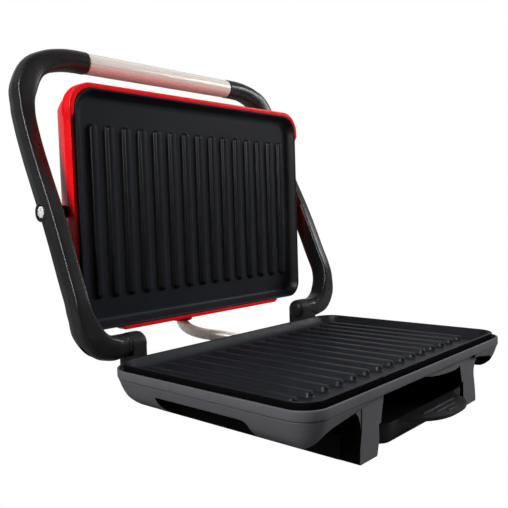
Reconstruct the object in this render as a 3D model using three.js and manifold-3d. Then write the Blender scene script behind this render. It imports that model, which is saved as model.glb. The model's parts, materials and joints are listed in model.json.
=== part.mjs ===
// Contact grill (panini press) shown open: a base with a ribbed lower plate and a drip tray, two swept
// arms that carry a tubular handle, and a floating lid with a ribbed upper plate.
// Units are millimetres, +Z is up, -Y is the user's side and +X is the user's right.
// Dimensions are laid out from the lower plate: Y = 0 at the front ends of its ribs, Z = 0 at its rib tops.
import * as THREE from 'three';
import { mergeVertices } from 'three/addons/utils/BufferGeometryUtils.js';
import Module from 'manifold-3d';

const wasm = await Module();
wasm.setup();

// ---- Driving dimensions ---------------------------------------------------------------------------

// Row frame: the group is moved so that its origin is on the resting surface, in the middle of the press.
const GROUND_BELOW_RIBS = 42.0;
const ORIGIN_BEHIND_RIB_FRONTS = 94.9;

// Grill plates
const RIB_COUNT = 15;
const RIB_PITCH = 15;
const RIB_LENGTH = 126;
const RIB_WIDTH = 6.6;
const PLATE_HALF_WIDTH = 122.5;
const PLATE_CORNER = 14;
const PLATE_REAR_CORNER = 17;
const LIP_TOP = 3.7;
const DISH_FLOOR = -3.4;
const PLATE_UNDERSIDE = -5.4;
const LIP_WIDTH = 1.8;
const DISH_WALL_RUN = 4.2;
const LOWER_PLATE_Y = [-22, 143.5];
const UPPER_PLATE_Y = [-22.5, 151.3];

// Base shell
const BASE_HALF_WIDTH = 126.5;
const BASE_Y = [-26, 150];
const BASE_CORNER = 17;
const BASE_REAR_CORNER = 24;
const RIM_TOP = 0.4;
const RIM_BOTTOM = -5.6;
const RIM_WALL = 1.6;
const HULL_BOTTOM = -28.6;
const HULL_WALL = 2.6;
const FRONT_BAY_BACK = 22;
const BULKHEAD_WALL = 2.5;

// Legs, which carry on backwards as skids and form the walls of the drip tray's bay
const LEG_BOTTOM = -41.2;
const LEG_OUTER = 78.2;
const SKID_BACK = 150;
const BAY_HALF_WIDTH = 57.6;
const BAY_TOP = -23;
const BAY_BACK = 122;
const BAY_WALL = 2.4;

// Drip tray
const TRAY_HALF_WIDTH = 56.4;
const TRAY_Y = [-24.4, 116];
const TRAY_Z = [-37.2, -24.6];
const TRAY_WALL = 2;

// Hinge between the base and the arms
const HINGE_Y = 154.5;
const HINGE_Z = 11.2;
const KNUCKLE_RADIUS = 8.6;
const KNUCKLE_X = [88.4, 102.8];
const HINGE_PIN_RADIUS = 3;

// Arms and handle
const ARM_X = 138.4;
const ARM_WIDTH = 11;
const ARM_STUB_X = 103.2;
const HANDLE_Y = 226;
const HANDLE_Z = 224;
const HANDLE_RADIUS = 8.3;
const HANDLE_HALF_LENGTH = 79;

// Pivot between the arms and the lid
const PIVOT_Y = 190.2;
const PIVOT_Z = 106.6;
const PIVOT_BOSS_RADIUS = 6.8;
const PIVOT_SHANK_RADIUS = 2.6;

// Lid, laid out like the lower plate and then stood on its hinge side
const LID_RIB_PLANE_Y = 178.6;
const LID_RIB_FOOT_Z = 42.9;
const LID_HALF_WIDTH = 126.4;
const LID_SIDE_HALF_WIDTH = 124.8;
const LID_Y = [-25.6, 154.8];
const LID_CORNER = 19;
const LID_FLANGE_TOP = 3.1;
const LID_BACK = -43;
const LID_WALL = 2.6;

// Metal conduit that carries the wires from the base to the lid
const CONDUIT_X = 0.4;
const CONDUIT_BASE_X = 32;
const CONDUIT_RADIUS = 4.9;

const RUNNING_GAP = 0.3;

// ---- Materials ------------------------------------------------------------------------------------

function material(color, roughness, metalness) {
  return new THREE.MeshStandardMaterial({ color, roughness, metalness });
}

const FINISH = {
  housing: material(0x3b3b40, 0.55, 0),
  nonstick: material(0x1d2026, 0.45, 0.1),
  redGloss: material(0xc8101a, 0.12, 0),
  blackGloss: material(0x111113, 0.18, 0),
  blackSatin: material(0x141416, 0.45, 0),
  brushedMetal: material(0xd3cabd, 0.3, 1),
  steel: material(0xc4c6c8, 0.25, 1),
  sheetMetal: material(0xb4b6b8, 0.4, 1),
  heaterSheath: material(0x5a5652, 0.5, 0.9),
  rubber: material(0x0d0d0d, 0.9, 0),
  ceramic: material(0xe6e2d8, 0.6, 0),
};

// ---- Shape helpers --------------------------------------------------------------------------------

function toSolid(geometry) {
  const bare = geometry.index ? geometry.toNonIndexed() : geometry.clone();
  bare.deleteAttribute('normal');
  bare.deleteAttribute('uv');
  const merged = mergeVertices(bare, 1e-4);
  const vertProperties = new Float32Array(merged.attributes.position.array);
  const triVerts = new Uint32Array(merged.index.array);
  return new wasm.Manifold(new wasm.Mesh({ numProp: 3, vertProperties, triVerts }));
}

function toGeometry(solid) {
  const mesh = solid.getMesh();
  const geometry = new THREE.BufferGeometry();
  geometry.setAttribute('position', new THREE.BufferAttribute(mesh.vertProperties, 3));
  geometry.setIndex(new THREE.BufferAttribute(mesh.triVerts, 1));
  geometry.computeVertexNormals();
  return geometry;
}

function union(geometries) {
  return geometries.map(toSolid).reduce((sum, solid) => sum.add(solid));
}

// Joins the first list and cuts the second list out of it.
function carve(bodies, cuts = []) {
  let solid = union(bodies);
  for (const cut of cuts) solid = solid.subtract(toSolid(cut));
  return toGeometry(solid);
}

function box(x0, x1, y0, y1, z0, z1) {
  const geometry = new THREE.BoxGeometry(x1 - x0, y1 - y0, z1 - z0);
  return geometry.translate((x0 + x1) / 2, (y0 + y1) / 2, (z0 + z1) / 2);
}

function cylinderX(radius, x0, x1, y, z, segments = 24) {
  const geometry = new THREE.CylinderGeometry(radius, radius, x1 - x0, segments).rotateZ(Math.PI / 2);
  return geometry.translate((x0 + x1) / 2, y, z);
}

function cylinderY(radius, y0, y1, x, z, segments = 20) {
  const geometry = new THREE.CylinderGeometry(radius, radius, y1 - y0, segments);
  return geometry.translate(x, (y0 + y1) / 2, z);
}

function cylinderZ(radius, z0, z1, x, y, segments = 20) {
  const geometry = new THREE.CylinderGeometry(radius, radius, z1 - z0, segments).rotateX(Math.PI / 2);
  return geometry.translate(x, y, (z0 + z1) / 2);
}

function polygonShape(points) {
  return new THREE.Shape(points.map(([u, v]) => new THREE.Vector2(u, v)));
}

function extrude(shape, depth, curveSegments = 5) {
  return new THREE.ExtrudeGeometry(shape, { depth, bevelEnabled: false, curveSegments });
}

// A prism along X whose outline is given as [y, z] points.
function prismX(points, x0, x1) {
  const basis = new THREE.Matrix4().makeBasis(
    new THREE.Vector3(0, 1, 0), new THREE.Vector3(0, 0, 1), new THREE.Vector3(1, 0, 0));
  return extrude(polygonShape(points), x1 - x0).applyMatrix4(basis).translate(x0, 0, 0);
}

// A prism along Y whose outline is given as [x, z] points.
function prismY(points, y0, y1) {
  const basis = new THREE.Matrix4().makeBasis(
    new THREE.Vector3(1, 0, 0), new THREE.Vector3(0, 0, 1), new THREE.Vector3(0, -1, 0));
  return extrude(polygonShape(points), y1 - y0).applyMatrix4(basis).translate(0, y1, 0);
}

function mirrorX(points) {
  return points.map(([x, z]) => [-x, z]).reverse();
}

// Rounded rectangle whose two rear corners may have a radius of their own.
function roundedOutline(halfWidth, [y0, y1], radius, inset, arcSteps, rearRadius = radius) {
  const front = Math.max(4, radius - inset);
  const rear = Math.max(4, rearRadius - inset);
  const right = halfWidth - inset;
  const corners = [
    [right - front, y0 + inset + front, front, -Math.PI / 2],
    [right - rear, y1 - inset - rear, rear, 0],
    [rear - right, y1 - inset - rear, rear, Math.PI / 2],
    [front - right, y0 + inset + front, front, Math.PI],
  ];
  return corners.flatMap(([cx, cy, r, start]) => {
    const arc = [];
    for (let k = 0; k <= arcSteps; k += 1) {
      const angle = start + (k / arcSteps) * (Math.PI / 2);
      arc.push(new THREE.Vector2(cx + r * Math.cos(angle), cy + r * Math.sin(angle)));
    }
    return arc;
  });
}

// Closed skin through rings of equal length; the first and last rings are capped.
function skin(rings) {
  const count = rings[0].length;
  const position = rings.flat().flatMap((p) => [p.x, p.y, p.z]);
  const index = [];
  for (let r = 0; r + 1 < rings.length; r += 1) {
    for (let k = 0; k < count; k += 1) {
      const a = r * count + k;
      const b = r * count + ((k + 1) % count);
      index.push(a, b, b + count, a, b + count, a + count);
    }
  }
  const last = (rings.length - 1) * count;
  for (let k = 1; k + 1 < count; k += 1) {
    index.push(0, k + 1, k);
    index.push(last, last + k, last + k + 1);
  }
  const geometry = new THREE.BufferGeometry();
  geometry.setAttribute('position', new THREE.Float32BufferAttribute(position, 3));
  geometry.setIndex(index);
  return geometry;
}

// Stack of rounded rectangles; levels are [z, inset] from bottom to top.
function roundedStack(halfWidth, span, radius, levels, arcSteps = 5, rearRadius = radius) {
  const rings = levels.map(([z, inset]) => roundedOutline(halfWidth, span, radius, inset, arcSteps, rearRadius)
    .map((p) => new THREE.Vector3(p.x, p.y, z)));
  return skin(rings);
}

// Sweeps closed sections of [outward, rearward] points along a path, one section for each point of it.
// The sections' rearward axis is kept as close to +Y as the path allows.
function sweep(path, sections) {
  const rings = path.map((point, i) => {
    const ahead = path[Math.min(i + 1, path.length - 1)];
    const behind = path[Math.max(i - 1, 0)];
    const tangent = ahead.clone().sub(behind).normalize();
    const rear = new THREE.Vector3(0, 1, 0);
    rear.addScaledVector(tangent, -rear.dot(tangent)).normalize();
    const outward = rear.clone().cross(tangent);
    return sections[i].map(([u, v]) => point.clone().addScaledVector(outward, u).addScaledVector(rear, v));
  });
  return skin(rings);
}

function lathe(points, segments = 24) {
  return new THREE.LatheGeometry(points.map(([r, h]) => new THREE.Vector2(r, h)), segments);
}

// Mirrors a closed geometry across X = 0 and keeps its faces pointing out.
function mirrored(geometry) {
  const copy = geometry.clone().scale(-1, 1, 1);
  const index = copy.index.array;
  for (let k = 0; k < index.length; k += 3) [index[k], index[k + 1]] = [index[k + 1], index[k]];
  copy.computeVertexNormals();
  return copy;
}

// ---- Model bookkeeping ----------------------------------------------------------------------------

const group = new THREE.Group();
group.position.set(0, -ORIGIN_BEHIND_RIB_FRONTS, GROUND_BELOW_RIBS);

const lid = new THREE.Group();
lid.rotation.x = Math.PI / 2;
lid.position.set(0, LID_RIB_PLANE_Y, LID_RIB_FOOT_Z);
group.add(lid);

function add(name, geometry, finish, parent = group) {
  const mesh = new THREE.Mesh(geometry, finish);
  mesh.name = name;
  parent.add(mesh);
  return mesh;
}

const SIDES = [['left', -1], ['right', 1]];

// ---- Grill plates ---------------------------------------------------------------------------------

const PLATE_POST_X = 92;
const PLATE_POST_BOTTOM = -8.4;

function ribs() {
  return Array.from({ length: RIB_COUNT }, (_, k) => {
    const x = (k - (RIB_COUNT - 1) / 2) * RIB_PITCH;
    const r = RIB_WIDTH / 2;
    const levels = [[DISH_FLOOR - 0.5, 0], [-1.2, 0.5], [-0.3, 1.1], [0, 1.9]];
    const rings = levels.map(([z, inset]) => {
      const radius = r - inset;
      const ring = [];
      for (const [cy, start] of [[r, Math.PI], [RIB_LENGTH - r, 0]]) {
        for (let step = 0; step <= 4; step += 1) {
          const angle = start + (step / 4) * Math.PI;
          ring.push(new THREE.Vector3(x + radius * Math.cos(angle), cy + radius * Math.sin(angle), z));
        }
      }
      return ring;
    });
    return skin(rings);
  });
}

function grillPlate(span, postYs) {
  const shell = roundedStack(PLATE_HALF_WIDTH, span, PLATE_CORNER,
    [[PLATE_UNDERSIDE, 0.8], [PLATE_UNDERSIDE + 0.8, 0], [LIP_TOP - 0.5, 0], [LIP_TOP, 0.5]], 5,
    PLATE_REAR_CORNER);
  const dish = roundedStack(PLATE_HALF_WIDTH, span, PLATE_CORNER,
    [[DISH_FLOOR, LIP_WIDTH + DISH_WALL_RUN], [LIP_TOP + 0.2, LIP_WIDTH]], 5, PLATE_REAR_CORNER);
  const posts = postYs.flatMap((y) => SIDES.map(([, side]) =>
    cylinderZ(4, PLATE_POST_BOTTOM, PLATE_UNDERSIDE + 0.5, side * PLATE_POST_X, y, 12)));
  const screwHoles = postYs.flatMap((y) => SIDES.map(([, side]) =>
    cylinderZ(2, PLATE_POST_BOTTOM - 1, -4.6, side * PLATE_POST_X, y, 10)));
  let solid = union([shell, ...posts]).subtract(toSolid(dish));
  for (const rib of ribs()) solid = solid.add(toSolid(rib));
  for (const hole of screwHoles) solid = solid.subtract(toSolid(hole));
  return toGeometry(solid);
}

const POST_YS = [38, 116];
add('lower_grill_plate', grillPlate(LOWER_PLATE_Y, POST_YS), FINISH.nonstick);
add('upper_grill_plate', grillPlate(UPPER_PLATE_Y, POST_YS), FINISH.nonstick, lid);

// ---- Heating parts, the same behind both plates ---------------------------------------------------

const HEATER_RADIUS = 3.2;
const HEATER_Z = -10.6;
const REFLECTOR_HALF_WIDTH = 84;
const REFLECTOR_Y = [28, 126];

function heatingElement() {
  const reach = 66;
  const bend = 16;
  const front = 40;
  const back = 120;
  const path = new THREE.CurvePath();
  const point = (x, y) => new THREE.Vector3(x, y, HEATER_Z);
  path.add(new THREE.LineCurve3(point(-reach, back), point(-reach, front + bend)));
  path.add(new THREE.QuadraticBezierCurve3(
    point(-reach, front + bend), point(-reach, front), point(bend - reach, front)));
  path.add(new THREE.LineCurve3(point(bend - reach, front), point(reach - bend, front)));
  path.add(new THREE.QuadraticBezierCurve3(
    point(reach - bend, front), point(reach, front), point(reach, front + bend)));
  path.add(new THREE.LineCurve3(point(reach, front + bend), point(reach, back)));
  const section = new THREE.Shape();
  section.absarc(0, 0, HEATER_RADIUS, 0, 2 * Math.PI, false);
  return new THREE.ExtrudeGeometry(section, { steps: 40, curveSegments: 5, extrudePath: path });
}

function reflector() {
  const tray = roundedStack(REFLECTOR_HALF_WIDTH, REFLECTOR_Y, 8, [[-17.5, 0], [-8.2, 0]], 3);
  const hollow = roundedStack(REFLECTOR_HALF_WIDTH, REFLECTOR_Y, 8, [[-16.5, 1], [-8, 1]], 3);
  return carve([tray], [hollow]);
}

for (const [level, parent] of [['lower', group], ['upper', lid]]) {
  add(`${level}_heating_element`, carve([heatingElement()]), FINISH.heaterSheath, parent);
  add(`${level}_reflector`, reflector(), FINISH.sheetMetal, parent);
  add(`${level}_thermostat`, cylinderZ(8, -15.5, PLATE_UNDERSIDE - 0.4, 0, 84, 20), FINISH.ceramic, parent);
}
add('thermal_fuse', cylinderX(2.2, 22, 40, 84, -10.4, 12), FINISH.steel);

// ---- Base -----------------------------------------------------------------------------------------

function rimFrame() {
  const outer = roundedStack(BASE_HALF_WIDTH, BASE_Y, BASE_CORNER,
    [[RIM_BOTTOM, 0.6], [RIM_BOTTOM + 0.6, 0], [RIM_TOP - 0.5, 0], [RIM_TOP, 0.4]], 6, BASE_REAR_CORNER);
  const trough = roundedStack(BASE_HALF_WIDTH, BASE_Y, BASE_CORNER,
    [[-2.6, RIM_WALL], [RIM_TOP + 1, RIM_WALL]], 6, BASE_REAR_CORNER);
  const opening = roundedStack(PLATE_HALF_WIDTH + 0.5, [LOWER_PLATE_Y[0] - 0.5, LOWER_PLATE_Y[1] + 0.5],
    PLATE_CORNER + 0.5, [[RIM_BOTTOM - 1, 0], [RIM_TOP + 2, 0]], 6, PLATE_REAR_CORNER + 0.5);
  return carve([outer], [trough, opening]);
}

// The hull's outline from its bottom up to the rim, as [z, inset].
const HULL_TOP = RIM_BOTTOM - RUNNING_GAP;
const HULL_LEVELS = [[HULL_BOTTOM, 27], [-27.4, 21], [-26, 17], [-24.2, 13.4], [-22.4, 10.6], [-20.4, 8.2],
  [-18.6, 6.4], [-16.6, 5], [-14, 3.6], [-11, 2.4], [-8, 1.6], [HULL_TOP, 1]];

function hullSolid() {
  return toSolid(roundedStack(BASE_HALF_WIDTH, BASE_Y, BASE_CORNER, HULL_LEVELS, 6, BASE_REAR_CORNER));
}

function hullHollow() {
  const levels = HULL_LEVELS.map(([z, inset]) => [z + HULL_WALL, inset + HULL_WALL]);
  return toSolid(roundedStack(BASE_HALF_WIDTH, BASE_Y, BASE_CORNER, levels, 6, BASE_REAR_CORNER));
}

// Outlines drawn for +X and mirrored for -X.
const LEG_FRONT = -22.5;
const LEG_POST = [[51, HULL_TOP], [57.6, -34], [60.1, LEG_BOTTOM], [LEG_OUTER, LEG_BOTTOM], [77.4, -32],
  [75.4, -22], [74.7, HULL_TOP]];
const LEG_GUSSET = [[72, HULL_TOP], [74.6, -24], [75.8, -24], [79, -13], [84, -9.4], [84, HULL_TOP]];
const SKID = [[-9, LEG_BOTTOM], [SKID_BACK - 2, LEG_BOTTOM], [SKID_BACK, -36], [SKID_BACK - 1, -30], [143, -23],
  [139, -21], [120, -21], [120, -26], [-9, -26]];
const CORNER_CUT = [[70, -34], [70, -8], [81, -8.8], [95.7, -11.2], [105, -13], [109, -14.4], [111.8, -17],
  [113.5, -21], [114, -34]];
const GRIP_CUT = [[19.5, -34], [20.4, -20], [21, -15.2], [22.6, -13.1], [25.5, -12.4], [97.4, -12.6],
  [99.4, -13.4], [98.8, -17], [97, -21], [94, -34]];
const GRIP_BACK = 104;

// The curved strip that hangs from the rim beside the right leg.
const VALANCE = [[-7, HULL_TOP], [3, -7.8], [14, -9.4], [28, -10.6], [42, -11], [51, -9.2], [55, -8],
  [55, HULL_TOP]];

const BASE_SCREW_XY = POST_YS.flatMap((y) => SIDES.map(([, side]) => [side * PLATE_POST_X, y]));
const SCREW_POST_TOP = PLATE_POST_BOTTOM - 0.4;

// Holes in the rear wall
const CORD_X = 62;
const CORD_Z = -14;
const CORD_HOLE_RADIUS = 5;
const CONDUIT_BASE_Z = -13;
const CONDUIT_HOLE_RADIUS = 4.9;

const across = (side, inner, outer) => (side > 0 ? [inner, outer] : [-outer, -inner]);
const onSide = (side, points) => (side > 0 ? points : mirrorX(points));

function baseHousing() {
  const hull = hullSolid();
  let solid = hull.subtract(hullHollow());
  const addTo = (geometry) => { solid = solid.add(toSolid(geometry)); };
  const addInside = (geometry) => { solid = solid.add(toSolid(geometry).intersect(hull)); };
  const cutFrom = (geometry) => { solid = solid.subtract(toSolid(geometry)); };

  // Bulkhead behind the front bay, pockets of the two side grips, and posts for the plate's screws.
  addInside(box(-125, 125, FRONT_BAY_BACK, FRONT_BAY_BACK + BULKHEAD_WALL, HULL_BOTTOM, SCREW_POST_TOP));
  for (const [, side] of SIDES) {
    addInside(box(...across(side, GRIP_BACK - HULL_WALL, 125), 17.6, 104.4, HULL_BOTTOM, -10));
  }
  for (const [x, y] of BASE_SCREW_XY) addInside(cylinderZ(5, HULL_BOTTOM, SCREW_POST_TOP, x, y, 14));

  // The front wall stays whole only above these cuts.
  cutFrom(box(-72, 72, BASE_Y[0] - 1, FRONT_BAY_BACK, LEG_BOTTOM - 1, HULL_TOP + 1));
  for (const [, side] of SIDES) cutFrom(prismY(onSide(side, CORNER_CUT), BASE_Y[0] - 1, FRONT_BAY_BACK));

  addTo(box(-BAY_HALF_WIDTH - BAY_WALL, BAY_HALF_WIDTH + BAY_WALL, FRONT_BAY_BACK, BAY_BACK + BAY_WALL,
    -30, BAY_TOP + BAY_WALL));
  addTo(prismY(VALANCE, BASE_Y[0] + 2.2, BASE_Y[0] + 4.6));
  for (const [, side] of SIDES) {
    addTo(prismY(onSide(side, LEG_POST), LEG_FRONT, -8));
    addTo(prismY(onSide(side, LEG_GUSSET), LEG_FRONT + 0.4, LEG_FRONT + 3.4));
    addTo(prismX(SKID, ...across(side, BAY_HALF_WIDTH, LEG_OUTER)));
    const bayWall = across(side, BAY_HALF_WIDTH, BAY_HALF_WIDTH + BAY_WALL);
    const trayRunner = across(side, BAY_HALF_WIDTH - 5, BAY_HALF_WIDTH + 1);
    addTo(box(...bayWall, -9, FRONT_BAY_BACK + 1, -30, HULL_TOP));
    addTo(box(...trayRunner, -8, BAY_BACK, LEG_BOTTOM, LEG_BOTTOM + 2));
  }

  cutFrom(box(-BAY_HALF_WIDTH, BAY_HALF_WIDTH, -8.2, BAY_BACK, LEG_BOTTOM + 2, BAY_TOP));
  cutFrom(box(0.3 - BAY_HALF_WIDTH, BAY_HALF_WIDTH - 0.3, -30, -8, LEG_BOTTOM + 2, BAY_TOP));
  cutFrom(box(-BAY_HALF_WIDTH + 5, BAY_HALF_WIDTH - 5, -8.2, BAY_BACK, LEG_BOTTOM - 1, LEG_BOTTOM + 3));
  for (const [, side] of SIDES) {
    cutFrom(prismX(GRIP_CUT, ...across(side, GRIP_BACK, 130)));
    cutFrom(box(...across(side, 63, 72.5), 4, SKID_BACK - 24, LEG_BOTTOM - 1, -29));
  }
  for (const [x, y] of BASE_SCREW_XY) {
    cutFrom(cylinderZ(1.9, HULL_BOTTOM - 1, -8, x, y, 10));
    cutFrom(cylinderZ(4, HULL_BOTTOM - 1, HULL_BOTTOM + 2.4, x, y, 14));
  }
  cutFrom(cylinderY(CORD_HOLE_RADIUS, BASE_Y[1] - 12, BASE_Y[1] + 2, CORD_X, CORD_Z, 16));
  cutFrom(cylinderY(CONDUIT_HOLE_RADIUS, BASE_Y[1] - 12, BASE_Y[1] + 2, CONDUIT_BASE_X, CONDUIT_BASE_Z, 16));
  return toGeometry(solid);
}

add('base_rim_frame', rimFrame(), FINISH.housing);
add('base_housing', baseHousing(), FINISH.housing);

function panScrew() {
  const headBottom = HULL_BOTTOM + 0.2;
  const shank = lathe([[0, headBottom], [3.4, headBottom], [3.4, headBottom + 1.9], [1.6, headBottom + 1.9],
    [1.6, -5.2], [0, -5.2]], 12).rotateX(Math.PI / 2);
  return carve([shank]);
}

BASE_SCREW_XY.forEach(([x, y], k) => {
  const name = `base_screw_${k < 2 ? 'front' : 'rear'}_${x < 0 ? 'left' : 'right'}`;
  add(name, panScrew(), FINISH.steel).position.set(x, y, 0);
});

const FOOT_YS = [['front', -14.5], ['rear', 142.5]];
for (const [end, y] of FOOT_YS) {
  for (const [name, side] of SIDES) {
    const foot = cylinderZ(5.5, -GROUND_BELOW_RIBS, LEG_BOTTOM - 0.2, side * 68, y, 18);
    add(`foot_${end}_${name}`, foot, FINISH.rubber);
  }
}

add('terminal_block', box(-46, -22, 126.5, 131.9, -18.8, -11), FINISH.ceramic);

// Grommet in the rear wall that the mains lead would pass through.
function cordInlet() {
  const wall = BASE_Y[1];
  const profile = [[3.3, wall - 9.5], [4.7, wall - 9.5], [4.7, wall - 0.8], [7.4, wall - 0.8],
    [6.8, wall + 1.6], [3.3, wall + 1.6], [3.3, wall - 9.5]];
  return carve([lathe(profile, 20)]).translate(CORD_X, 0, CORD_Z);
}
add('cord_inlet_grommet', cordInlet(), FINISH.blackSatin);

// ---- Drip tray ------------------------------------------------------------------------------------

function dripTray() {
  const front = TRAY_Y[0];
  const outer = roundedStack(TRAY_HALF_WIDTH, TRAY_Y, 11,
    [[TRAY_Z[0], 2], [TRAY_Z[0] + 2, 0], [TRAY_Z[1], 0]], 4);
  const hollow = roundedStack(TRAY_HALF_WIDTH, TRAY_Y, 11,
    [[TRAY_Z[0] + TRAY_WALL, TRAY_WALL + 2], [TRAY_Z[1] + 1, TRAY_WALL]], 4);
  const tongueShape = new THREE.Shape();
  tongueShape.moveTo(-46, front + 1.5);
  tongueShape.bezierCurveTo(-36, front - 1, -31, front - 4, -28, front - 9);
  tongueShape.bezierCurveTo(-22, front - 18, -12, front - 20.6, 0, front - 20.6);
  tongueShape.bezierCurveTo(12, front - 20.6, 22, front - 18, 28, front - 9);
  tongueShape.bezierCurveTo(31, front - 4, 36, front - 1, 46, front + 1.5);
  const tongue = extrude(tongueShape, 2.2, 5).translate(0, 0, TRAY_Z[1] - 2.4);
  const gripRibs = [[20.5, -7.2], [12.5, -11.8], [5.5, -16]].map(([half, dy]) =>
    box(-half, half, front + dy - 0.8, front + dy + 0.8, TRAY_Z[1] - 0.6, TRAY_Z[1] + 0.8));
  return carve([outer, tongue, ...gripRibs], [hollow]);
}
add('drip_tray', dripTray(), FINISH.blackSatin);

// ---- Hinge ----------------------------------------------------------------------------------------

function knuckleOutline() {
  const wall = BASE_Y[1];
  const points = [[HINGE_Y - KNUCKLE_RADIUS, RIM_TOP + 0.5], [wall + 0.4, RIM_TOP + 0.5], [wall + 0.4, -6.4],
    [wall - 0.8, -6.6], [wall - 1.3, -8.4], [wall - 2, -11], [wall - 2.8, -13.1], [wall - 3.9, -15.4],
    [wall + 8, -15.4],
    [wall + 11.5, -11], [HINGE_Y + KNUCKLE_RADIUS, -4]];
  for (let k = 0; k <= 14; k += 1) {
    const angle = (k / 14) * Math.PI;
    const radius = KNUCKLE_RADIUS - 0.6 * Math.sin(angle);
    points.push([HINGE_Y + radius * Math.cos(angle), HINGE_Z + radius * Math.sin(angle)]);
  }
  return points;
}

// The knuckle is a domed barrel on the bracket's top; a small pad beside it bears on the rim.
for (const [name, side] of SIDES) {
  const [inner, outer] = KNUCKLE_X;
  const trim = lathe([[0, inner], [KNUCKLE_RADIUS - 5, inner], [KNUCKLE_RADIUS - 2, inner + 1.2],
    [KNUCKLE_RADIUS - 0.6, inner + 3.4], [KNUCKLE_RADIUS + 0.01, inner + 6], [KNUCKLE_RADIUS + 0.01, outer],
    [0, outer]], 28).rotateZ(-Math.PI / 2).translate(0, HINGE_Y, HINGE_Z);
  const barrel = toSolid(side > 0 ? trim : mirrored(trim));
  const post = toSolid(prismX(knuckleOutline(), ...across(side, inner + 3.2, outer)));
  const pad = toSolid(box(...across(side, outer - 1, 109), 145.6, 149, RIM_TOP + 0.5, 4.2));
  const bore = toSolid(cylinderX(HINGE_PIN_RADIUS + RUNNING_GAP, ...across(side, inner + 4, outer + 2),
    HINGE_Y, HINGE_Z, 20));
  add(`hinge_bracket_${name}`, toGeometry(post.add(barrel).add(pad).subtract(bore)), FINISH.blackSatin);
  const pin = cylinderX(HINGE_PIN_RADIUS, ...across(side, inner + 4.5, 117), HINGE_Y, HINGE_Z, 20);
  add(`hinge_pin_${name}`, pin, FINISH.steel);
}

// ---- Arms and handle ------------------------------------------------------------------------------

// Half-width and half-depth of the arm's section: a flat front and an outer face in two facets.
const ARM_SECTION = [[-0.5, -0.34], [-0.36, -0.5], [0.36, -0.5], [0.5, -0.4], [0.56, 0], [0.46, 0.42],
  [0.34, 0.5], [-0.36, 0.5], [-0.5, 0.4]];

// Stations of the right arm from the hinge to the handle: x, y, z, width, depth, and roundness, which
// is 1 where the section is a circle.
const ARM_STATIONS = [
  [ARM_STUB_X, HINGE_Y, HINGE_Z, 17, 17, 1],
  [109, HINGE_Y, HINGE_Z, 17, 17, 1],
  [116.5, HINGE_Y, 11.4, 17.6, 17, 0.55],
  [126.8, HINGE_Y + 0.2, 15.4, 18, 17, 0.2],
  [134, HINGE_Y + 0.8, 24.6, 16.6, 16.8, 0],
  [137.5, HINGE_Y + 2.6, 37, 12.6, 16.8, 0],
  [ARM_X, 160.2, 48, ARM_WIDTH, 16.8, 0],
  [ARM_X, 167.2, 64, ARM_WIDTH, 16.8, 0],
  [ARM_X, 176, 85, ARM_WIDTH, 16.8, 0],
  [ARM_X, 185.5, 106, ARM_WIDTH, 16.8, 0],
  [ARM_X, 197, 129, ARM_WIDTH, 16.8, 0],
  [ARM_X, 207, 150, ARM_WIDTH, 16.8, 0],
  [138.2, 215.2, 170, 11.4, 16.8, 0],
  [137.3, 219.6, 184, 12.6, 16.8, 0],
  [134.2, 223, 198, 16.2, 16.8, 0.05],
  [126, 225.2, 212.4, 17, 16.8, 0.2],
  [114, HANDLE_Y, 219.6, 16.8, 17, 0.5],
  [101, HANDLE_Y, 223, 17.2, 17.4, 0.8],
  [90, HANDLE_Y, HANDLE_Z, 17.6, 17.6, 1],
  [HANDLE_HALF_LENGTH + 0.4, HANDLE_Y, HANDLE_Z, 17.6, 17.6, 1],
];

function armSections(steps) {
  return Array.from({ length: steps + 1 }, (_, k) => {
    const place = (k / steps) * (ARM_STATIONS.length - 1);
    const low = Math.min(Math.floor(place), ARM_STATIONS.length - 2);
    const share = place - low;
    const [width, depth, round] = [3, 4, 5].map((i) => (
      ARM_STATIONS[low][i] * (1 - share) + ARM_STATIONS[low + 1][i] * share));
    return ARM_SECTION.map(([u, v]) => {
      const reach = 0.5 / Math.hypot(u, v);
      const pull = 1 - round + round * reach;
      return [u * pull * width, v * pull * depth];
    });
  });
}

function rightArm() {
  const steps = 2 * (ARM_STATIONS.length - 1);
  const curve = new THREE.CatmullRomCurve3(ARM_STATIONS.map(([x, y, z]) => new THREE.Vector3(x, y, z)));
  const bar = sweep(curve.getPoints(steps), armSections(steps));
  const outerFace = ARM_X + ARM_WIDTH / 2;
  const innerFace = ARM_X - ARM_WIDTH / 2;
  const boss = cylinderX(PIVOT_BOSS_RADIUS, innerFace + 0.2, outerFace + 0.5, PIVOT_Y, PIVOT_Z, 28);
  const innerBoss = cylinderX(5.5, innerFace - 1.8, innerFace + 1, PIVOT_Y, PIVOT_Z, 20);
  const spigot = cylinderX(6.5, HANDLE_HALF_LENGTH - 9, HANDLE_HALF_LENGTH + 2, HANDLE_Y, HANDLE_Z, 20);
  // Dark slot under the elbow, at 45 degrees.
  const slot = box(-11, 11, -3.2, 3.2, -2.5, 2.5).rotateY(-Math.PI / 4).translate(132.2, HINGE_Y + 1.4, 9.6);
  return carve([bar, boss, innerBoss, spigot], [
    cylinderX(PIVOT_SHANK_RADIUS + RUNNING_GAP, innerFace - 4, outerFace + 2, PIVOT_Y, PIVOT_Z, 20),
    cylinderX(5.3, outerFace - 2.2, outerFace + 2, PIVOT_Y, PIVOT_Z, 24),
    cylinderX(HINGE_PIN_RADIUS + RUNNING_GAP, ARM_STUB_X - 2, 117.5, HINGE_Y, HINGE_Z, 20),
    slot,
  ]);
}

const armGeometry = rightArm();
add('arm_left', mirrored(armGeometry), FINISH.blackGloss);
add('arm_right', armGeometry, FINISH.blackGloss);

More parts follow.
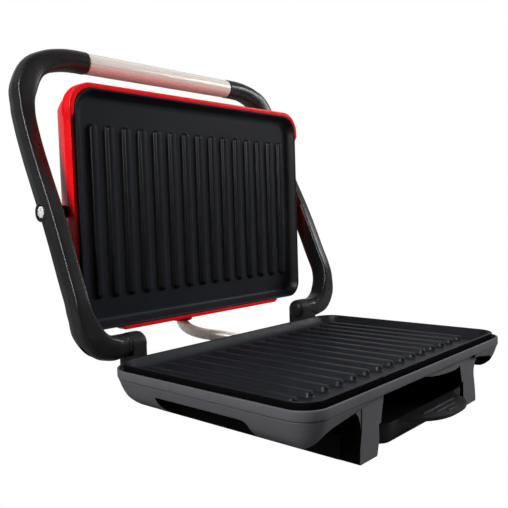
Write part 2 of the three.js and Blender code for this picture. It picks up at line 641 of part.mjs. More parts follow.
const handleTube = carve(
  [cylinderX(HANDLE_RADIUS, -HANDLE_HALF_LENGTH, HANDLE_HALF_LENGTH, HANDLE_Y, HANDLE_Z, 36)],
  [cylinderX(7, -HANDLE_HALF_LENGTH - 1, HANDLE_HALF_LENGTH + 1, HANDLE_Y, HANDLE_Z, 28)]);
add('handle_tube', handleTube, FINISH.brushedMetal);

const PIVOT_SHANK_END = 114;

function pivotScrew() {
  const head = ARM_X + ARM_WIDTH / 2 - 1.9;
  const profile = [[0, PIVOT_SHANK_END], [PIVOT_SHANK_RADIUS, PIVOT_SHANK_END], [PIVOT_SHANK_RADIUS, head],
    [4.3, head], [4.3, head + 1.6], [3.4, head + 2.3], [0, head + 2.3]];
  return carve([lathe(profile, 20).rotateZ(-Math.PI / 2).translate(0, PIVOT_Y, PIVOT_Z)]);
}
add('lid_pivot_screw_left', mirrored(pivotScrew()), FINISH.steel);
add('lid_pivot_screw_right', pivotScrew(), FINISH.steel);

// ---- Lid ------------------------------------------------------------------------------------------

const PIVOT_LID_Y = PIVOT_Z - LID_RIB_FOOT_Z;
const PIVOT_LID_Z = LID_RIB_PLANE_Y - PIVOT_Y;
const BUSH_RADIUS = 3.6;
const BUSH_X = [117.5, 122];
const CONDUIT_LID_Y = 212;
const CONDUIT_LID_Z = LID_RIB_PLANE_Y - CONDUIT_LID_Y;
const LID_LEVELS = [[LID_BACK, 38], [-42.6, 31], [-41.5, 24.7], [-39.4, 19.7], [-37, 16.3], [-34, 13.4],
  [-31, 11.2], [-27, 8.6], [-22, 6.4], [-16, 4.7], [-8.4, 3.3], [-8, 0], [LID_FLANGE_TOP - 0.8, 0],
  [LID_FLANGE_TOP, 0.9]];
const LID_HOLLOW = [[LID_BACK + LID_WALL, 36], [-38.8, 27], [-36, 20.5], [-32, 15.6], [-27, 11.6], [-22, 9.2],
  [-16, 7.4], [-8.4, 6.2], [PLATE_UNDERSIDE - 0.4, 6.2]];

function lidHousing() {
  const shell = roundedStack(LID_HALF_WIDTH, LID_Y, LID_CORNER, LID_LEVELS, 6);
  const hollow = roundedStack(LID_HALF_WIDTH, LID_Y, LID_CORNER, LID_HOLLOW, 6);
  const plateSeat = roundedStack(PLATE_HALF_WIDTH + 0.5, [UPPER_PLATE_Y[0] - 0.5, UPPER_PLATE_Y[1] + 0.5],
    PLATE_CORNER + 0.5, [[PLATE_UNDERSIDE - 0.5, 0], [LID_FLANGE_TOP + 2, 0]], 6, PLATE_REAR_CORNER + 0.5);
  const conduitBoss = lathe([[0, -33.5], [8.8, -33.5], [9.3, -31], [9.6, -3], [0, -3]], 24)
    .translate(CONDUIT_X, 0, CONDUIT_LID_Z);
  let solid = toSolid(shell).subtract(toSolid(hollow)).add(toSolid(conduitBoss));
  for (const [, side] of SIDES) {
    solid = solid.add(toSolid(cylinderX(7.5, ...across(side, 113, 122.6), PIVOT_LID_Y, PIVOT_LID_Z, 24)));
  }
  const cuts = [plateSeat, cylinderY(CONDUIT_RADIUS + 1.2, -36, 2, CONDUIT_X, CONDUIT_LID_Z, 16)];
  for (const [, side] of SIDES) {
    // The flange is narrower and stands back along the sides, and stops short beside the hinge end.
    cuts.push(box(...across(side, LID_SIDE_HALF_WIDTH, 130), -30, 128, -7.9, 8));
    cuts.push(prismX([[-30, 0.8], [126, 0.8], [131, 8], [-30, 8]],
      ...across(side, PLATE_HALF_WIDTH + 0.4, 130)));
    cuts.push(box(...across(side, 89, 130), -30, UPPER_PLATE_Y[0] - 0.7, -5, 8));
    cuts.push(box(...across(side, 104, 130), -30, -8, -3, 8));
    cuts.push(cylinderX(BUSH_RADIUS + 0.3, ...across(side, BUSH_X[0] - 0.3, 132),
      PIVOT_LID_Y, PIVOT_LID_Z, 20));
    cuts.push(cylinderX(PIVOT_SHANK_RADIUS + 0.6, ...across(side, 110, 132), PIVOT_LID_Y, PIVOT_LID_Z, 16));
  }
  for (const cut of cuts) solid = solid.subtract(toSolid(cut));
  return toGeometry(solid);
}
add('lid_housing', lidHousing(), FINISH.redGloss, lid);

for (const [name, side] of SIDES) {
  const bush = carve(
    [cylinderX(BUSH_RADIUS, ...across(side, ...BUSH_X), PIVOT_LID_Y, PIVOT_LID_Z, 20)],
    [cylinderX(PIVOT_SHANK_RADIUS + RUNNING_GAP, ...across(side, BUSH_X[0] - 1, BUSH_X[1] + 1),
      PIVOT_LID_Y, PIVOT_LID_Z, 16)]);
  add(`lid_pivot_bush_${name}`, bush, FINISH.blackSatin, lid);
}

// ---- Conduit --------------------------------------------------------------------------------------

// Middle line of the conduit from the base's rear wall, round behind the hinge line and up into the lid's boss.
const CONDUIT_ROUTE = [[CONDUIT_BASE_X, BASE_Y[1] + 7.4, CONDUIT_BASE_Z], [31, 163.5, -11], [26, 172, -7.5],
  [18.5, 184, -5], [10.5, 194, -3], [4.5, 203, 0], [1.4, 209, 4], [CONDUIT_X, CONDUIT_LID_Y, 9],
  [CONDUIT_X, CONDUIT_LID_Y, 14]];

function conduit() {
  const path = new THREE.CatmullRomCurve3(CONDUIT_ROUTE.map(([x, y, z]) => new THREE.Vector3(x, y, z)));
  const section = new THREE.Shape();
  section.absarc(0, 0, CONDUIT_RADIUS, 0, 2 * Math.PI, false);
  return new THREE.ExtrudeGeometry(section, { steps: 22, curveSegments: 5, extrudePath: path });
}
add('conduit', carve([conduit()]), FINISH.brushedMetal);

// Collar that holds the conduit's end in the rear wall.
const baseFerrule = lathe([[0, BASE_Y[1] - 8], [4.5, BASE_Y[1] - 8], [4.5, BASE_Y[1] - 0.8],
  [6.6, BASE_Y[1] - 0.8], [6.6, BASE_Y[1] + 3.2], [5.4, BASE_Y[1] + 4.6], [0, BASE_Y[1] + 4.6]], 20);
add('conduit_ferrule_base', carve([baseFerrule]).translate(CONDUIT_BASE_X, 0, CONDUIT_BASE_Z), FINISH.steel);
const lidFerrule = lathe([[0, -28], [CONDUIT_RADIUS + 0.8, -28], [CONDUIT_RADIUS + 0.8, -12], [0, -12]], 20);
add('conduit_ferrule_lid', carve([lidFerrule]).translate(CONDUIT_X, 0, CONDUIT_LID_Z), FINISH.steel, lid);

export default group;
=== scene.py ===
"""Contact grill (panini press), shown open on a plain pale floor.

Sizes are in millimetres in a working frame: Y = 0 at the front ends of the lower ribs, Z = 0 at their
tops. at() turns a working point into the row frame, in metres.
"""
import json
import math

import bmesh
import bpy
from mathutils import Matrix, Vector, noise


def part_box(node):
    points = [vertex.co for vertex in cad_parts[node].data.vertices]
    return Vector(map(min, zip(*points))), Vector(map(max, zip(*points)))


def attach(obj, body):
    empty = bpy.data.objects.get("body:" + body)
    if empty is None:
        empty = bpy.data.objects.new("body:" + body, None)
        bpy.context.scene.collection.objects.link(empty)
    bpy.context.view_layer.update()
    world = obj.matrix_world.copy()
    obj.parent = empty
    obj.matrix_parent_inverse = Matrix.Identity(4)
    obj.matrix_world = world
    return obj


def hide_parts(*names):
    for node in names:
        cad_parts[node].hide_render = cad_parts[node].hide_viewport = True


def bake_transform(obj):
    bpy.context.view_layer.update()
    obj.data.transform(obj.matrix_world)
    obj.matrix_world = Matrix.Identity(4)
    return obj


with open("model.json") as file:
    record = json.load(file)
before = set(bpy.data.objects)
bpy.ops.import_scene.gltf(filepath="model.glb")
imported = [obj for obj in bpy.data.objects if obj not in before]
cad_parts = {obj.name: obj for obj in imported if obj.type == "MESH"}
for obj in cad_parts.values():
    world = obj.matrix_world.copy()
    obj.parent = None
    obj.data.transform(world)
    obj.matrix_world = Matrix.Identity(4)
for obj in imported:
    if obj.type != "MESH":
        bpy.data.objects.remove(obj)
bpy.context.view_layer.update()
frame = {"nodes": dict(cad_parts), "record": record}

MM = 0.001

# ---- Working frame --------------------------------------------------------------------------------

LIP_TOP = 3.7
PLATE_FRONT = -22.0
PLATE_LO, PLATE_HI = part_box("lower_grill_plate")
Y_SHIFT = PLATE_LO.y - PLATE_FRONT * MM
Z_SHIFT = PLATE_HI.z - LIP_TOP * MM


def at(x, y, z):
    return Vector((x * MM, y * MM + Y_SHIFT, z * MM + Z_SHIFT))


def joint_place(name):
    """(y, z) of a hinge's axis in the working frame."""
    place = next(j["pos_m"] for j in frame["record"]["behaviour"]["joints"] if j["name"] == name)
    return (place[1] - Y_SHIFT) / MM, (place[2] - Z_SHIFT) / MM


HINGE_Y, HINGE_Z = joint_place("arm_hinge")
PIVOT_Y, PIVOT_Z = joint_place("lid_tilt")
UPPER_LO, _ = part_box("upper_grill_plate")
LID_RIB_Y = (UPPER_LO.y - Y_SHIFT) / MM + LIP_TOP
LID_FOOT_Z = (UPPER_LO.z - Z_SHIFT) / MM + 22.5
GROUND_Z = -Z_SHIFT / MM


def lid_point(x, y, z):
    """A point laid out on the lid like the lower plate's, stood up into the open lid's place."""
    return (x, LID_RIB_Y - z, LID_FOOT_Z + y)


# ---- Materials ------------------------------------------------------------------------------------

class Nodes:
    """Short names for the nodes of one material."""

    def __init__(self, name):
        self.mat = bpy.data.materials.new(name)
        self.mat.use_nodes = True
        self.tree = self.mat.node_tree
        self.bsdf = self.tree.nodes["Principled BSDF"]

    def add(self, kind, inputs=None, **settings):
        node = self.tree.nodes.new(kind)
        for key, value in settings.items():
            setattr(node, key, value)
        for key, value in (inputs or {}).items():
            if isinstance(value, bpy.types.NodeSocket):
                self.tree.links.new(value, node.inputs[key])
            else:
                node.inputs[key].default_value = value
        return node

    def link(self, output, key):
        self.tree.links.new(output, self.bsdf.inputs[key])

    def set(self, **values):
        for key, value in values.items():
            self.bsdf.inputs[key.replace("_", " ")].default_value = value

    def coords(self, scale=(1, 1, 1)):
        coord = self.add("ShaderNodeTexCoord")
        mapping = self.add("ShaderNodeMapping", {"Vector": coord.outputs["Object"]})
        mapping.inputs["Scale"].default_value = scale
        return mapping.outputs["Vector"]

    def noise(self, scale, detail=3.0, roughness=0.55, stretch=(1, 1, 1)):
        node = self.add("ShaderNodeTexNoise", {"Vector": self.coords(stretch), "Scale": scale,
                                               "Detail": detail, "Roughness": roughness})
        return node.outputs["Fac"]

    def ramp(self, fac, low, high, start=0.3, end=0.7):
        node = self.add("ShaderNodeMapRange", {"Value": fac, "From Min": start, "From Max": end,
                                               "To Min": low, "To Max": high})
        return node.outputs["Result"]

    def mix(self, fac, first, second):
        node = self.add("ShaderNodeMix", data_type="RGBA")
        self.tree.links.new(fac, node.inputs["Factor"])
        node.inputs["A"].default_value = (*first, 1)
        node.inputs["B"].default_value = (*second, 1)
        return node.outputs["Result"]

    def bump(self, height, distance, strength=1.0, below=None):
        node = self.add("ShaderNodeBump", {"Height": height, "Distance": distance, "Strength": strength})
        if below is not None:
            self.tree.links.new(below, node.inputs["Normal"])
        return node.outputs["Normal"]

    def soft_edges(self, radius):
        """Normals that round every sharp edge a little, as moulded and pressed edges are."""
        node = self.add("ShaderNodeBevel", {"Radius": radius}, samples=6)
        return node.outputs["Normal"]


def moulded(name, dark, light, rough, grain, depth, coat=0.0, edge=0.0006, specular=0.5):
    """Moulded plastic: faint colour drift, fine grain in the surface, uneven roughness."""
    m = Nodes(name)
    drift = m.noise(38, 4)
    m.link(m.mix(m.ramp(drift, 0, 1), dark, light), "Base Color")
    m.link(m.ramp(m.noise(140, 3), rough[0], rough[1]), "Roughness")
    m.link(m.bump(m.noise(grain, 2, 0.6), depth, 1.0, m.soft_edges(edge)), "Normal")
    m.set(Specular_IOR_Level=specular)
    if coat:
        m.set(Coat_Weight=coat, Coat_Roughness=0.06)
    return m.mat


def nonstick():
    """Dark coating over cast aluminium: fine orange-peel, slightly cloudy satin sheen."""
    m = Nodes("nonstick_coating")
    cloud = m.noise(26, 5, 0.6)
    m.link(m.mix(m.ramp(cloud, 0, 1, 0.35, 0.7), (0.0055, 0.006, 0.009),
                 (0.008, 0.009, 0.0125)), "Base Color")
    m.link(m.ramp(m.noise(90, 4), 0.36, 0.47), "Roughness")
    peel = m.noise(900, 2, 0.5)
    m.link(m.bump(peel, 0.00004, 0.8, m.soft_edges(0.0005)), "Normal")
    m.set(Specular_IOR_Level=0.45)
    return m.mat


def glossy_red():
    """Sprayed red gloss: clear coat over a deep red with a very slight orange peel."""
    m = Nodes("glossy_red")
    m.link(m.mix(m.ramp(m.noise(30, 3), 0, 1), (0.74, 0.0035, 0.007), (0.80, 0.005, 0.009)), "Base Color")
    m.link(m.ramp(m.noise(120, 3), 0.24, 0.3), "Roughness")
    m.link(m.bump(m.noise(420, 2), 0.00001, 0.6, m.soft_edges(0.0007)), "Normal")
    m.set(Coat_Weight=0.35, Coat_Roughness=0.06, Specular_IOR_Level=0.2)
    return m.mat


def brushed(name, dark, light, rough, stretch, depth=0.00002, metallic=1.0):
    """Brushed metal: fine scratches stretched along one axis, with broad tone changes."""
    m = Nodes(name)
    m.set(Metallic=metallic)
    streak = m.noise(70, 6, 0.7, stretch)
    m.link(m.mix(m.ramp(streak, 0, 1), dark, light), "Base Color")
    m.link(m.ramp(m.noise(30, 4, 0.6, stretch), rough[0], rough[1]), "Roughness")
    m.link(m.bump(streak, depth, 0.8, m.soft_edges(0.0003)), "Normal")
    return m.mat


MAT = {
    "housing": moulded("graphite_plastic", (0.082, 0.080, 0.089), (0.094, 0.092, 0.101), (0.44, 0.54), 1500,
                       0.00005, specular=0.35),
    "nonstick": nonstick(),
    "red": glossy_red(),
    "gloss": moulded("black_gloss_plastic", (0.0095, 0.009, 0.0095), (0.013, 0.0125, 0.013), (0.24, 0.32),
                     500, 0.00001, coat=0.2, edge=0.0008, specular=0.5),
    "knuckle": moulded("black_moulded_knuckle", (0.012, 0.012, 0.013), (0.017, 0.017, 0.018), (0.34, 0.42),
                       900, 0.00002, edge=0.0006, specular=0.3),
    "tray": moulded("tray_plastic", (0.004, 0.004, 0.005), (0.007, 0.007, 0.0085), (0.34, 0.42), 1200,
                    0.00003, specular=0.4),
    "satin": moulded("black_satin_plastic", (0.003, 0.003, 0.0035), (0.0055, 0.0055, 0.006), (0.5, 0.6),
                     1300, 0.00004, specular=0.2),
    # Near-black painted shade, put on the plates' undersides and side walls and on the base's inner faces
    # where shade falls.
    "shadow": moulded("painted_shade_black", (0.0012, 0.0012, 0.0014), (0.002, 0.002, 0.0022), (0.7, 0.85), 900,
                      0.00003, specular=0.08),
    "rubber": moulded("black_rubber", (0.006, 0.006, 0.006), (0.012, 0.012, 0.012), (0.75, 0.9), 2200,
                      0.00008, specular=0.3),
    "handle": brushed("brushed_handle_metal", (0.79, 0.74, 0.67), (0.85, 0.80, 0.73), (0.22, 0.32),
                      (1, 30, 30), metallic=0.35, depth=0.000008),
    "conduit": brushed("conduit_metal", (0.84, 0.79, 0.71), (0.93, 0.88, 0.81), (0.24, 0.34), (8, 8, 8),
                       metallic=0.1),
    "chrome": brushed("chrome_plate", (0.76, 0.76, 0.77), (0.80, 0.80, 0.81), (0.12, 0.2), (1, 1, 1),
                      0.000004, metallic=0.2),
    "steel": brushed("plain_steel", (0.42, 0.42, 0.42), (0.55, 0.55, 0.55), (0.28, 0.4), (4, 4, 4)),
    "sheet": brushed("aluminium_sheet", (0.58, 0.58, 0.59), (0.68, 0.68, 0.69), (0.3, 0.42), (1, 30, 30)),
    "sheath": brushed("heater_sheath", (0.10, 0.09, 0.08), (0.17, 0.15, 0.13), (0.4, 0.55), (3, 3, 3)),
    "ceramic": moulded("ceramic_insulator", (0.70, 0.67, 0.60), (0.78, 0.75, 0.69), (0.5, 0.65), 900,
                       0.00005),
}

CAD_FINISH = {
    "base_plastic": "housing", "nonstick_plate": "nonstick", "heater_sheath": "sheath",
    "reflector_sheet": "sheet", "ceramic_insulator": "ceramic", "steel_hardware": "steel",
    "chrome_screw": "chrome", "rubber_foot": "rubber", "black_plastic": "satin", "tray_plastic": "tray",
    "arm_plastic": "gloss", "handle_metal": "handle", "red_lid": "red",
}
for entry in frame["record"]["subparts"]:
    node = frame["nodes"][entry["node"]]
    node.data.materials.clear()
    node.data.materials.append(MAT[CAD_FINISH[entry["material_slot"]]])

# ---- Mesh helpers ---------------------------------------------------------------------------------


def outline(half_width, span, radius, inset, arc=14, step=0.0, rear=None):
    """Rounded rectangle, counter-clockwise, as (x, y) points.

    rear is the rear corners' own radius, and step adds points along the straight sides.
    """
    y0, y1 = span
    r = max(3.0, radius - inset)
    back = max(3.0, (rear or radius) - inset)
    right = half_width - inset
    centres = [(right - r, y0 + inset + r, r, -90), (right - back, y1 - inset - back, back, 0),
               (back - right, y1 - inset - back, back, 90), (r - right, y0 + inset + r, r, 180)]
    points = []
    for cx, cy, size, start in centres:
        for k in range(arc + 1):
            a = math.radians(start + 90 * k / arc)
            points.append((cx + size * math.cos(a), cy + size * math.sin(a)))
    if not step:
        return points
    counts = [max(1, round((y1 - y0 - 2 * radius) / step)),
              max(1, round((2 * half_width - 2 * radius) / step))]
    dense = []
    for k, p in enumerate(points):
        dense.append(p)
        if k % (arc + 1) == arc:
            q = points[(k + 1) % len(points)]
            n = counts[(k // (arc + 1)) % 2]
            dense.extend((p[0] + (q[0] - p[0]) * i / n, p[1] + (q[1] - p[1]) * i / n) for i in range(1, n))
    return dense


class Shape:
    """Collects closed skins and turns them into one object."""

    def __init__(self):
        self.verts = []
        self.faces = []

    def skin(self, rings, caps=True, ring_loop=False):
        base = len(self.verts)
        count = len(rings[0])
        for ring in rings:
            self.verts.extend(ring)
        pairs = len(rings) if ring_loop else len(rings) - 1
        for r in range(pairs):
            here, there = base + r * count, base + ((r + 1) % len(rings)) * count
            for k in range(count):
                n = (k + 1) % count
                self.faces.append((here + k, here + n, there + n, there + k))
        if caps and not ring_loop:
            self.faces.append(tuple(base + k for k in reversed(range(count))))
            last = base + (len(rings) - 1) * count
            self.faces.append(tuple(last + k for k in range(count)))
        return self

    def stack(self, half_width, span, radius, levels, arc=14, step=0.0, place=None, rear=None):
        place = place or (lambda x, y, z: (x, y, z))
        rings = [[place(x, y, z) for x, y in outline(half_width, span, radius, inset, arc, step, rear)]
                 for z, inset in levels]
        return self.skin(rings)

    def box(self, x0, x1, y0, y1, z0, z1, place=None):
        place = place or (lambda x, y, z: (x, y, z))
        ring = [(x0, y0), (x1, y0), (x1, y1), (x0, y1)]
        return self.skin([[place(x, y, z) for x, y in ring] for z in (z0, z1)])

    def prism_x(self, points, x0, x1):
        return self.skin([[(x, y, z) for y, z in points] for x in (x0, x1)])

    def prism_y(self, points, y0, y1):
        return self.skin([[(x, y, z) for x, z in points] for y in (y0, y1)])

    def lathe_x(self, profile, y, z, side=1, segments=48):
        """Solid of revolution about an axis along X. profile is (radius, x), the ends on the axis."""
        rings = []
        for r, x in profile:
            r = max(r, 0.02)
            rings.append([(side * x, y + r * math.cos(2 * math.pi * k / segments),
                           z + r * math.sin(2 * math.pi * k / segments)) for k in range(segments)])
        return self.skin(rings)

    def lathe_y(self, profile, x, z, segments=40):
        rings = []
        for r, y in profile:
            r = max(r, 0.02)
            rings.append([(x + r * math.cos(2 * math.pi * k / segments), y,
                           z + r * math.sin(2 * math.pi * k / segments)) for k in range(segments)])
        return self.skin(rings)

    def lathe_z(self, profile, x, y, segments=40, place=None):
        place = place or (lambda px, py, pz: (px, py, pz))
        rings = []
        for r, z in profile:
            r = max(r, 0.02)
            rings.append([place(x + r * math.cos(2 * math.pi * k / segments),
                                y + r * math.sin(2 * math.pi * k / segments), z) for k in range(segments)])
        return self.skin(rings)

    def build(self, name, angle=32):
        mesh = bpy.data.meshes.new(name)
        mesh.from_pydata([at(*v) for v in self.verts], [], self.faces)
        bm = bmesh.new()
        bm.from_mesh(mesh)
        bmesh.ops.recalc_face_normals(bm, faces=bm.faces)
        bm.to_mesh(mesh)
        bm.free()
        obj = bpy.data.objects.new(name, mesh)
        bpy.context.scene.collection.objects.link(obj)
        smooth(obj, angle)
        return obj


def smooth(obj, angle):
    obj.data.shade_smooth()
    obj.data.set_sharp_from_angle(angle=math.radians(angle))


def bake(obj, angle=32):
    """Applies the object's modifiers to its mesh."""
    graph = bpy.context.evaluated_depsgraph_get()
    mesh = bpy.data.meshes.new_from_object(obj.evaluated_get(graph))
    obj.modifiers.clear()
    obj.data = mesh
    smooth(obj, angle)


def combine(target, others, operation, angle=32):
    """Booleans the other objects into the target, and removes them."""
    for other in others:
        mod = target.modifiers.new("combine", "BOOLEAN")
        mod.operation = operation
        mod.solver = "EXACT"
        mod.object = other
    bake(target, angle)
    for other in others:
        bpy.data.objects.remove(other)
    return target


def rounded(obj, width, segments=3, angle=40):
    """Rounds the object's own sharp edges."""
    mod = obj.modifiers.new("edges", "BEVEL")
    mod.width = width * MM
    mod.segments = segments
    mod.limit_method = "ANGLE"
    mod.angle_limit = math.radians(angle)
    mod.harden_normals = False
    bake(obj, 50)
    return obj


def finish_piece(obj, material, body, slot, *nodes):
    obj.data.materials.clear()
    obj.data.materials.append(MAT[material])
    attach(obj, body)
    if nodes:
        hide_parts(*nodes)
    return obj


def mirror_x(obj, name):
    """A copy on the other side of the press."""
    mesh = obj.data.copy()
    mesh.name = name
    for v in mesh.vertices:
        v.co.x = -v.co.x
    mesh.flip_normals()
    copy = bpy.data.objects.new(name, mesh)
    bpy.context.scene.collection.objects.link(copy)
    return copy


SIDES = (("left", -1), ("right", 1))


def across(side, inner, outer):
    return (inner, outer) if side > 0 else (-outer, -inner)


def ease(t):
    t = min(1.0, max(0.0, t))
    return t * t * (3 - 2 * t)


def spline(points, per_span=8):
    """Catmull-Rom curve through the points."""
    pts = [Vector(p) for p in points]
    padded = [pts[0] * 2 - pts[1], *pts, pts[-1] * 2 - pts[-2]]
    out = []
    for i in range(1, len(padded) - 2):
        p0, p1, p2, p3 = padded[i - 1:i + 3]
        for k in range(per_span):
            t = k / per_span
            out.append(0.5 * ((2 * p1) + (p2 - p0) * t + (2 * p0 - 5 * p1 + 4 * p2 - p3) * t * t
                              + (3 * p1 - p0 - 3 * p2 + p3) * t * t * t))
    out.append(pts[-1])
    return out


# ---- Grill plates ---------------------------------------------------------------------------------

RIB_COUNT = 15
RIB_PITCH = 15.0
RIB_LENGTH = 126.0
PLATE_HALF = 122.5
PLATE_CORNER = 14.0
PLATE_REAR_CORNER = 17.0
FLOOR = -3.4

PLATE_PROFILE = [(-5.4, 6.0), (-5.4, 0.9), (-5.2, 0.35), (-4.7, 0.0), (2.9, 0.0), (3.35, 0.1), (3.6, 0.35),
                 (3.7, 0.7), (3.68, 1.2), (3.5, 1.6), (3.1, 1.95), (2.2, 2.35), (0.8, 3.2), (-0.8, 4.25),
                 (-2.1, 5.2), (-2.8, 5.95), (-3.2, 6.8), (-3.37, 7.8), (FLOOR, 9.2)]
RIB_PROFILE = [(-3.6, 4.5), (-3.35, 4.2), (-3.1, 3.85), (-2.6, 3.5), (-1.6, 3.2), (-0.9, 2.95),
               (-0.45, 2.6), (-0.15, 2.05), (0.0, 1.2)]


# The first bands between the profile's rings are the plate's underside and side wall, which get the
# near-black painted shade.
PLATE_SIDE_RINGS = 5
LOWER_SPAN = (PLATE_FRONT, 143.5)
UPPER_SPAN = (-22.5, 151.3)
SCREW_X = 92
SCREW_Y = (38, 116)


def grill_plate(name, span, body, place, node):
    shape = Shape()
    shape.stack(PLATE_HALF, span, PLATE_CORNER, PLATE_PROFILE, arc=16, place=place, rear=PLATE_REAR_CORNER)
    for k in range(RIB_COUNT):
        x = (k - (RIB_COUNT - 1) / 2) * RIB_PITCH
        rings = []
        for z, r in RIB_PROFILE:
            ring = []
            for cy, start in ((3.3, 180), (RIB_LENGTH - 3.3, 0)):
                for i in range(11):
                    a = math.radians(start + 18 * i)
                    ring.append(place(x + r * math.cos(a), cy + r * math.sin(a), z))
            rings.append(ring)
        shape.skin(rings)
    for sx in (-SCREW_X, SCREW_X):
        for y in SCREW_Y:
            shape.lathe_z([(0, -8.4), (3.6, -8.4), (4, -8.0), (4, -5.0), (0, -5.0)], sx, y, 24, place)
    obj = shape.build(name, 50)
    finish_piece(obj, "nonstick", body, "nonstick_plate", node)
    # The underside and side wall bands take the near-black painted shade material.
    obj.data.materials.append(MAT["shadow"])
    for face in obj.data.polygons[:PLATE_SIDE_RINGS * len(outline(PLATE_HALF, span, PLATE_CORNER, 0, 16))]:
        face.material_index = 1
    return obj


grill_plate("lower_plate", LOWER_SPAN, "base", lambda x, y, z: (x, y, z), "lower_grill_plate")
grill_plate("upper_plate", UPPER_SPAN, "lid", lid_point, "upper_grill_plate")

# ---- Base -----------------------------------------------------------------------------------------

BASE_HALF = 126.5
BASE_SPAN = (-26.0, 150.0)
BASE_CORNER = 17.0
BASE_REAR_CORNER = 24.0
HULL_BOTTOM = -28.6
RIM_TOP = 0.4
RIM_BOTTOM = -5.6
HULL_TOP = RIM_BOTTOM - 0.3
LEG_BOTTOM = -41.2
LEG_FRONT = -22.5
FRONT, REAR = BASE_SPAN
MIDDLE_Y = 60
SKIN_DEPTH = 1.2
# The wall across the base behind its open front corners.
BULKHEAD_Y = 22.0
# The hand holds in the sides, and the inner faces of the walls behind them.
GRIP_BACK = 104.0
GRIP_WALL = 101.4
# The drip tray's bay between the legs, the runners that carry the tray, and the skids.
BAY_HALF = 57.6
BAY_BACK = 122.0
BAY_TOP = -23.0
RUNNER_INNER = 52.6
SKID_OUTER = 78.2
SCREW_POST_TOP = -8.8
# Where the mains lead would come in, and where the conduit runs.
CORD_X, CORD_Z = 62, -14
CONDUIT_R, CONDUIT_HOLE_R = 4.9, 6.1
CONDUIT_X, CONDUIT_LID_Y = 0.4, 212
CONDUIT_BASE_X, CONDUIT_BASE_Z = 32.0, -13.0


def rim_frame():
    profile = [(-5.58, 0.6), (-5.5, 0.3), (-5.3, 0.1), (-5.0, 0.0), (-0.3, 0.0), (0.1, 0.1), (0.33, 0.35),
               (0.4, 0.75), (0.33, 1.2), (0.1, 1.5), (-2.4, 1.62), (-2.6, 1.8), (-2.6, 3.3), (-2.9, 3.5),
               (-5.58, 3.5)]
    rings = []
    for z, inset in profile:
        edge = outline(BASE_HALF, BASE_SPAN, BASE_CORNER, inset, 20, 0, BASE_REAR_CORNER)
        rings.append([(x, y, z) for x, y in edge])
    obj = Shape().skin(rings, ring_loop=True).build("rim_frame", 40)
    return finish_piece(obj, "housing", "base", "base_plastic", "base_rim_frame")


rim_frame()

HULL = [(HULL_BOTTOM, 28.0), (-28.3, 24.5), (-27.4, 21.0), (-26, 17.0), (-24.2, 13.4), (-22.4, 10.6),
        (-20.4, 8.2), (-18.6, 6.4), (-16.6, 5.0), (-14, 3.6), (-11, 2.3), (-8, 1.3), (-6.6, 0.7),
        (-6.2, 0.6), (HULL_TOP, 0.9)]
HULL_WALL = 2.6
LEG_POST = [(51, HULL_TOP), (54.5, -20), (57.6, -34), (59.4, -40.4), (60.1, LEG_BOTTOM), (77.6, LEG_BOTTOM),
            (78.2, -40.4), (77.4, -32), (75.4, -22), (74.7, HULL_TOP)]
LEG_GUSSET = [(72, HULL_TOP), (74.6, -24), (75.6, -24), (76.4, -18), (78.2, -13.4), (80.8, -10.6),
              (84, -9.3), (84, HULL_TOP)]
SKID = [(-9, LEG_BOTTOM), (148, LEG_BOTTOM), (150, -36), (149, -30), (143, -23), (139, -21), (120, -21),
        (120, -26), (-9, -26)]
CORNER_CUT = [(70, -34), (70, -8), (81, -8.8), (88, -9.9), (95.7, -11.2), (102, -12.3), (106, -13.2),
              (109, -14.4), (110.8, -15.8), (112.2, -17.8), (113.2, -20), (113.7, -23), (114, -34)]
GRIP_CUT = [(19.5, -34), (20.3, -20), (20.6, -17), (21, -15.2), (21.7, -13.9), (22.9, -13), (25.5, -12.45),
            (97.4, -12.6), (98.8, -12.9), (99.4, -13.5), (99.3, -15), (98.6, -17.6), (97, -21), (94, -34)]
VALANCE = [(-7, HULL_TOP), (-2, -6.7), (3, -7.7), (8, -8.6), (14, -9.4), (21, -10.1), (28, -10.6),
           (36, -10.95), (42, -11), (47, -10.3), (51, -9.2), (55, -8), (55, HULL_TOP)]
SCREWS = [(sx, y) for y in SCREW_Y for sx in (-SCREW_X, SCREW_X)]


def flip(points, side):
    return points if side > 0 else [(-x, z) for x, z in reversed(points)]


def hull_stack(name):
    return Shape().stack(BASE_HALF, BASE_SPAN, BASE_CORNER, HULL, arc=20, rear=BASE_REAR_CORNER).build(name)


def hull_inset(z):
    """How far the hull's skin stands in from the rim's outline at a height."""
    for (z0, inset0), (z1, inset1) in zip(HULL, HULL[1:]):
        if z <= z1:
            return inset0 + (inset1 - inset0) * max(0.0, z - z0) / (z1 - z0)
    return HULL[-1][1]


def on_outside(place, normal):
    """True on the hull's outer skin, its underside, and the front faces of the legs; every other face gets
    the painted shade.
    """
    x, y, z = place
    if normal.z < -0.7 and z < HULL_BOTTOM + 0.3:
        return True
    if y < LEG_FRONT + 4 and normal.y < -0.5:
        return True
    radius = BASE_REAR_CORNER if y > MIDDLE_Y else BASE_CORNER
    dx = abs(x) - (BASE_HALF - radius)
    dy = max(FRONT + radius - y, y - (REAR - radius))
    if dx > 0 and dy > 0:
        inset = radius - math.hypot(dx, dy)
        out = Vector((math.copysign(dx, x), math.copysign(dy, y - MIDDLE_Y), 0)).normalized()
    elif BASE_HALF - abs(x) < min(y - FRONT, REAR - y):
        inset, out = BASE_HALF - abs(x), Vector((math.copysign(1, x), 0, 0))
    else:
        inset, out = min(y - FRONT, REAR - y), Vector((0, math.copysign(1, y - MIDDLE_Y), 0))
    skin = abs(inset - hull_inset(z)) < SKIN_DEPTH and normal.dot(out) > 0.1
    return skin or normal.z < -0.85 and inset > 20


